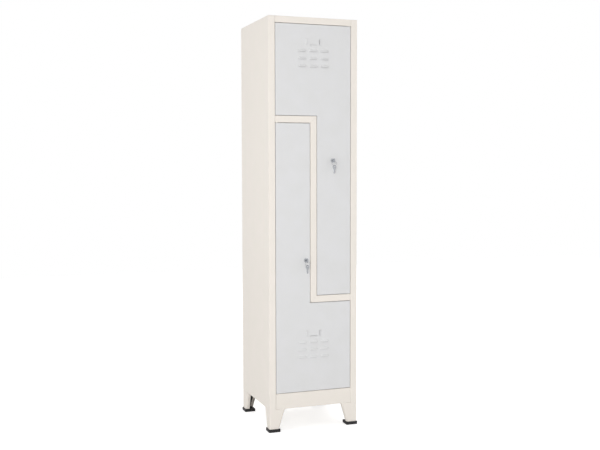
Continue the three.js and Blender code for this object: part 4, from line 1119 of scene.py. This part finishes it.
# %% Coat rails and their sockets
RAIL_TUBE, RAIL_BORE, UPPER_DROP, LOWER_DROP = 8.0, 6.8, 84.0, 46.0
SOCKET, SOCKET_THICK, COLLAR, COLLAR_BORE, COLLAR_REACH = 14.0, 2.5, 10.4, 8.3, 9.0
cup = softened([(0, 0), (SOCKET, 0), (SOCKET, -SOCKET_THICK), (COLLAR, -SOCKET_THICK),
                (COLLAR, -COLLAR_REACH), (COLLAR_BORE, -COLLAR_REACH), (COLLAR_BORE, -SOCKET_THICK),
                (0, -SOCKET_THICK)], [0, 0.3, 1.0, 0.4, 0.4, 0.4, 0, 0])
for name, far, z in (("upper", OUTER - SKIN, HEIGHT - UPPER_DROP),
                     ("lower", -HALF - SEAM, UPPER_BAR - BAR - LOWER_DROP)):
    start, stop = SKIN - OUTER + SOCKET_THICK + SEAM, far - SOCKET_THICK - SEAM
    tube = softened([(RAIL_BORE, start), (RAIL_TUBE, start), (RAIL_TUBE, stop), (RAIL_BORE, stop)], 0.3)
    fitted(f"{name}_rail_tube", [turned(ring_of(tube), "x", (0, DEPTH / 2, z))],
           "carcass", "zinc_steel", f"{name}_coat_rail")
    for hand, x, side in (("left", SKIN - OUTER, -1.0), ("right", far, 1.0)):
        fitted(f"{name}_{hand}_rail_cup", [turned(cup * [1.0, side], "x", (x, DEPTH / 2, z))],
               "carcass", "black_plastic", f"{name}_rail_{hand}_socket")

# %% [markdown]
# ## Floor, light and camera
#
# The photograph is a catalogue picture: white ground, and soft light that falls almost evenly on the front
# and on the side. Four square lamps give that: one near the camera on the left, which also lights into the
# gaps round the doors, a large one at the left side, a weak one on the right, and one behind for the other
# views. The world fills the rest. No lamp shows in reflections, because a coated wall seen at a low angle
# would mirror it and burn out to white. Only the camera sees the floor as white, and it keeps the shadow;
# metal reflects a white world.

# %% Floor and backdrop
FLOOR_HALF, FLOOR_LIFT = 6, 0.55


def white_ground():
    """A floor that renders white to the camera where nothing shades it, and still takes the shadow."""
    finish, tree, shader, _ = new_finish("white_studio_floor")
    shader.inputs["Base Color"].default_value = linear("f4f4f4")
    shader.inputs["Roughness"].default_value = 0.9
    shader.inputs["Emission Color"].default_value = linear("ffffff")
    seen = add_node(tree, "ShaderNodeLightPath").outputs["Is Camera Ray"]
    lift = add_node(tree, "ShaderNodeMath", {"operation": "MULTIPLY"})
    tree.links.new(seen, lift.inputs[0])
    lift.inputs[1].default_value = FLOOR_LIFT
    feed(shader, Emission_Strength=lift.outputs["Value"])
    return finish


floor_mesh = bpy.data.meshes.new("studio_floor")
floor_mesh.from_pydata(lifted("z", rectangle(FLOOR_HALF, FLOOR_HALF), 0).tolist(), [], [(0, 1, 2, 3)])
floor = bpy.data.objects.new("studio_floor", floor_mesh)
bpy.context.scene.collection.objects.link(floor)
floor_mesh.materials.append(white_ground())
floor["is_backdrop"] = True
print("floor:", 2 * FLOOR_HALF, "m wide")

# %% World
WORLD_FILL, WHITE = 0.6, (1, 1, 1, 1)
world = bpy.data.worlds.new("soft_studio")
bpy.context.scene.world = world
world.use_nodes = True
sky = world.node_tree
background = sky.nodes["Background"]
background.inputs["Color"].default_value = WHITE
background.inputs["Strength"].default_value = WORLD_FILL
shown = add_node(sky, "ShaderNodeBackground", {"Color": WHITE, "Strength": 1.0})
paths = add_node(sky, "ShaderNodeLightPath")
seen = add_node(sky, "ShaderNodeMath", {"operation": "MAXIMUM"})
sky.links.new(paths.outputs["Is Camera Ray"], seen.inputs[0])
sky.links.new(paths.outputs["Is Glossy Ray"], seen.inputs[1])
mixed = add_node(sky, "ShaderNodeMixShader", Fac=seen.outputs["Value"])
sky.links.new(background.outputs["Background"], mixed.inputs[1])
sky.links.new(shown.outputs["Background"], mixed.inputs[2])
feed(sky.nodes["World Output"], Surface=mixed.outputs["Shader"])
print("world fill:", WORLD_FILL)

# %% Lamps
def soft_lamp(name, place, target, size, power):
    """A square area lamp at a place, facing a target, in metres and watts, that reflections don't show."""
    lamp = bpy.data.lights.new(name, "AREA")
    lamp.size, lamp.energy = size, power
    holder = bpy.data.objects.new(name, lamp)
    holder.location = place
    holder.rotation_euler = (Vector(target) - Vector(place)).to_track_quat("-Z", "Y").to_euler()
    holder.visible_glossy = False
    bpy.context.scene.collection.objects.link(holder)
    print(f"{name}: {power} W")


soft_lamp("front_lamp", (-1.9, -3.6, 1.4), (0, 0, 0.8), 1.4, 44.2)
soft_lamp("side_lamp", (-3.9, -1.0, 1.6), (0, 0, 0.8), 2.4, 22.0)
soft_lamp("fill_lamp", (2.8, -2.6, 0.9), (0, 0, 0.8), 2.0, 9.0)
soft_lamp("back_lamp", (1.8, 3.2, 2.4), (0, 0, 1.0), 2.4, 40.0)

# %% Camera
CORNER, CORNER_TO_CAMERA = placed([-OUTER, 0.0, 0.0]), (-1.2078, -3.7092, 1.1537)
YAW, PITCH, ROLL = 19.99, -3.603, -0.101
FOCAL_PIXELS, PICTURE_PIXELS, SENSOR = 909.15, 600.0, 36.0
camera_data = bpy.data.cameras.new("photo_camera")
camera_data.sensor_width = SENSOR
camera_data.lens = FOCAL_PIXELS * SENSOR / PICTURE_PIXELS
camera = bpy.data.objects.new("photo_camera", camera_data)
camera.location = Vector(CORNER) + Vector(CORNER_TO_CAMERA)
camera.rotation_euler = (
    Matrix.Rotation(math.radians(-YAW), 3, "Z")
    @ Matrix.Rotation(math.radians(90.0 + PITCH), 3, "X")
    @ Matrix.Rotation(math.radians(ROLL), 3, "Z")
).to_euler()
bpy.context.scene.collection.objects.link(camera)
bpy.context.scene.camera = camera
bpy.context.scene.view_settings.view_transform = "Standard"
print("lens:", round(camera_data.lens, 2), "mm")

# %% Bounds of the object
low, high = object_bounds()
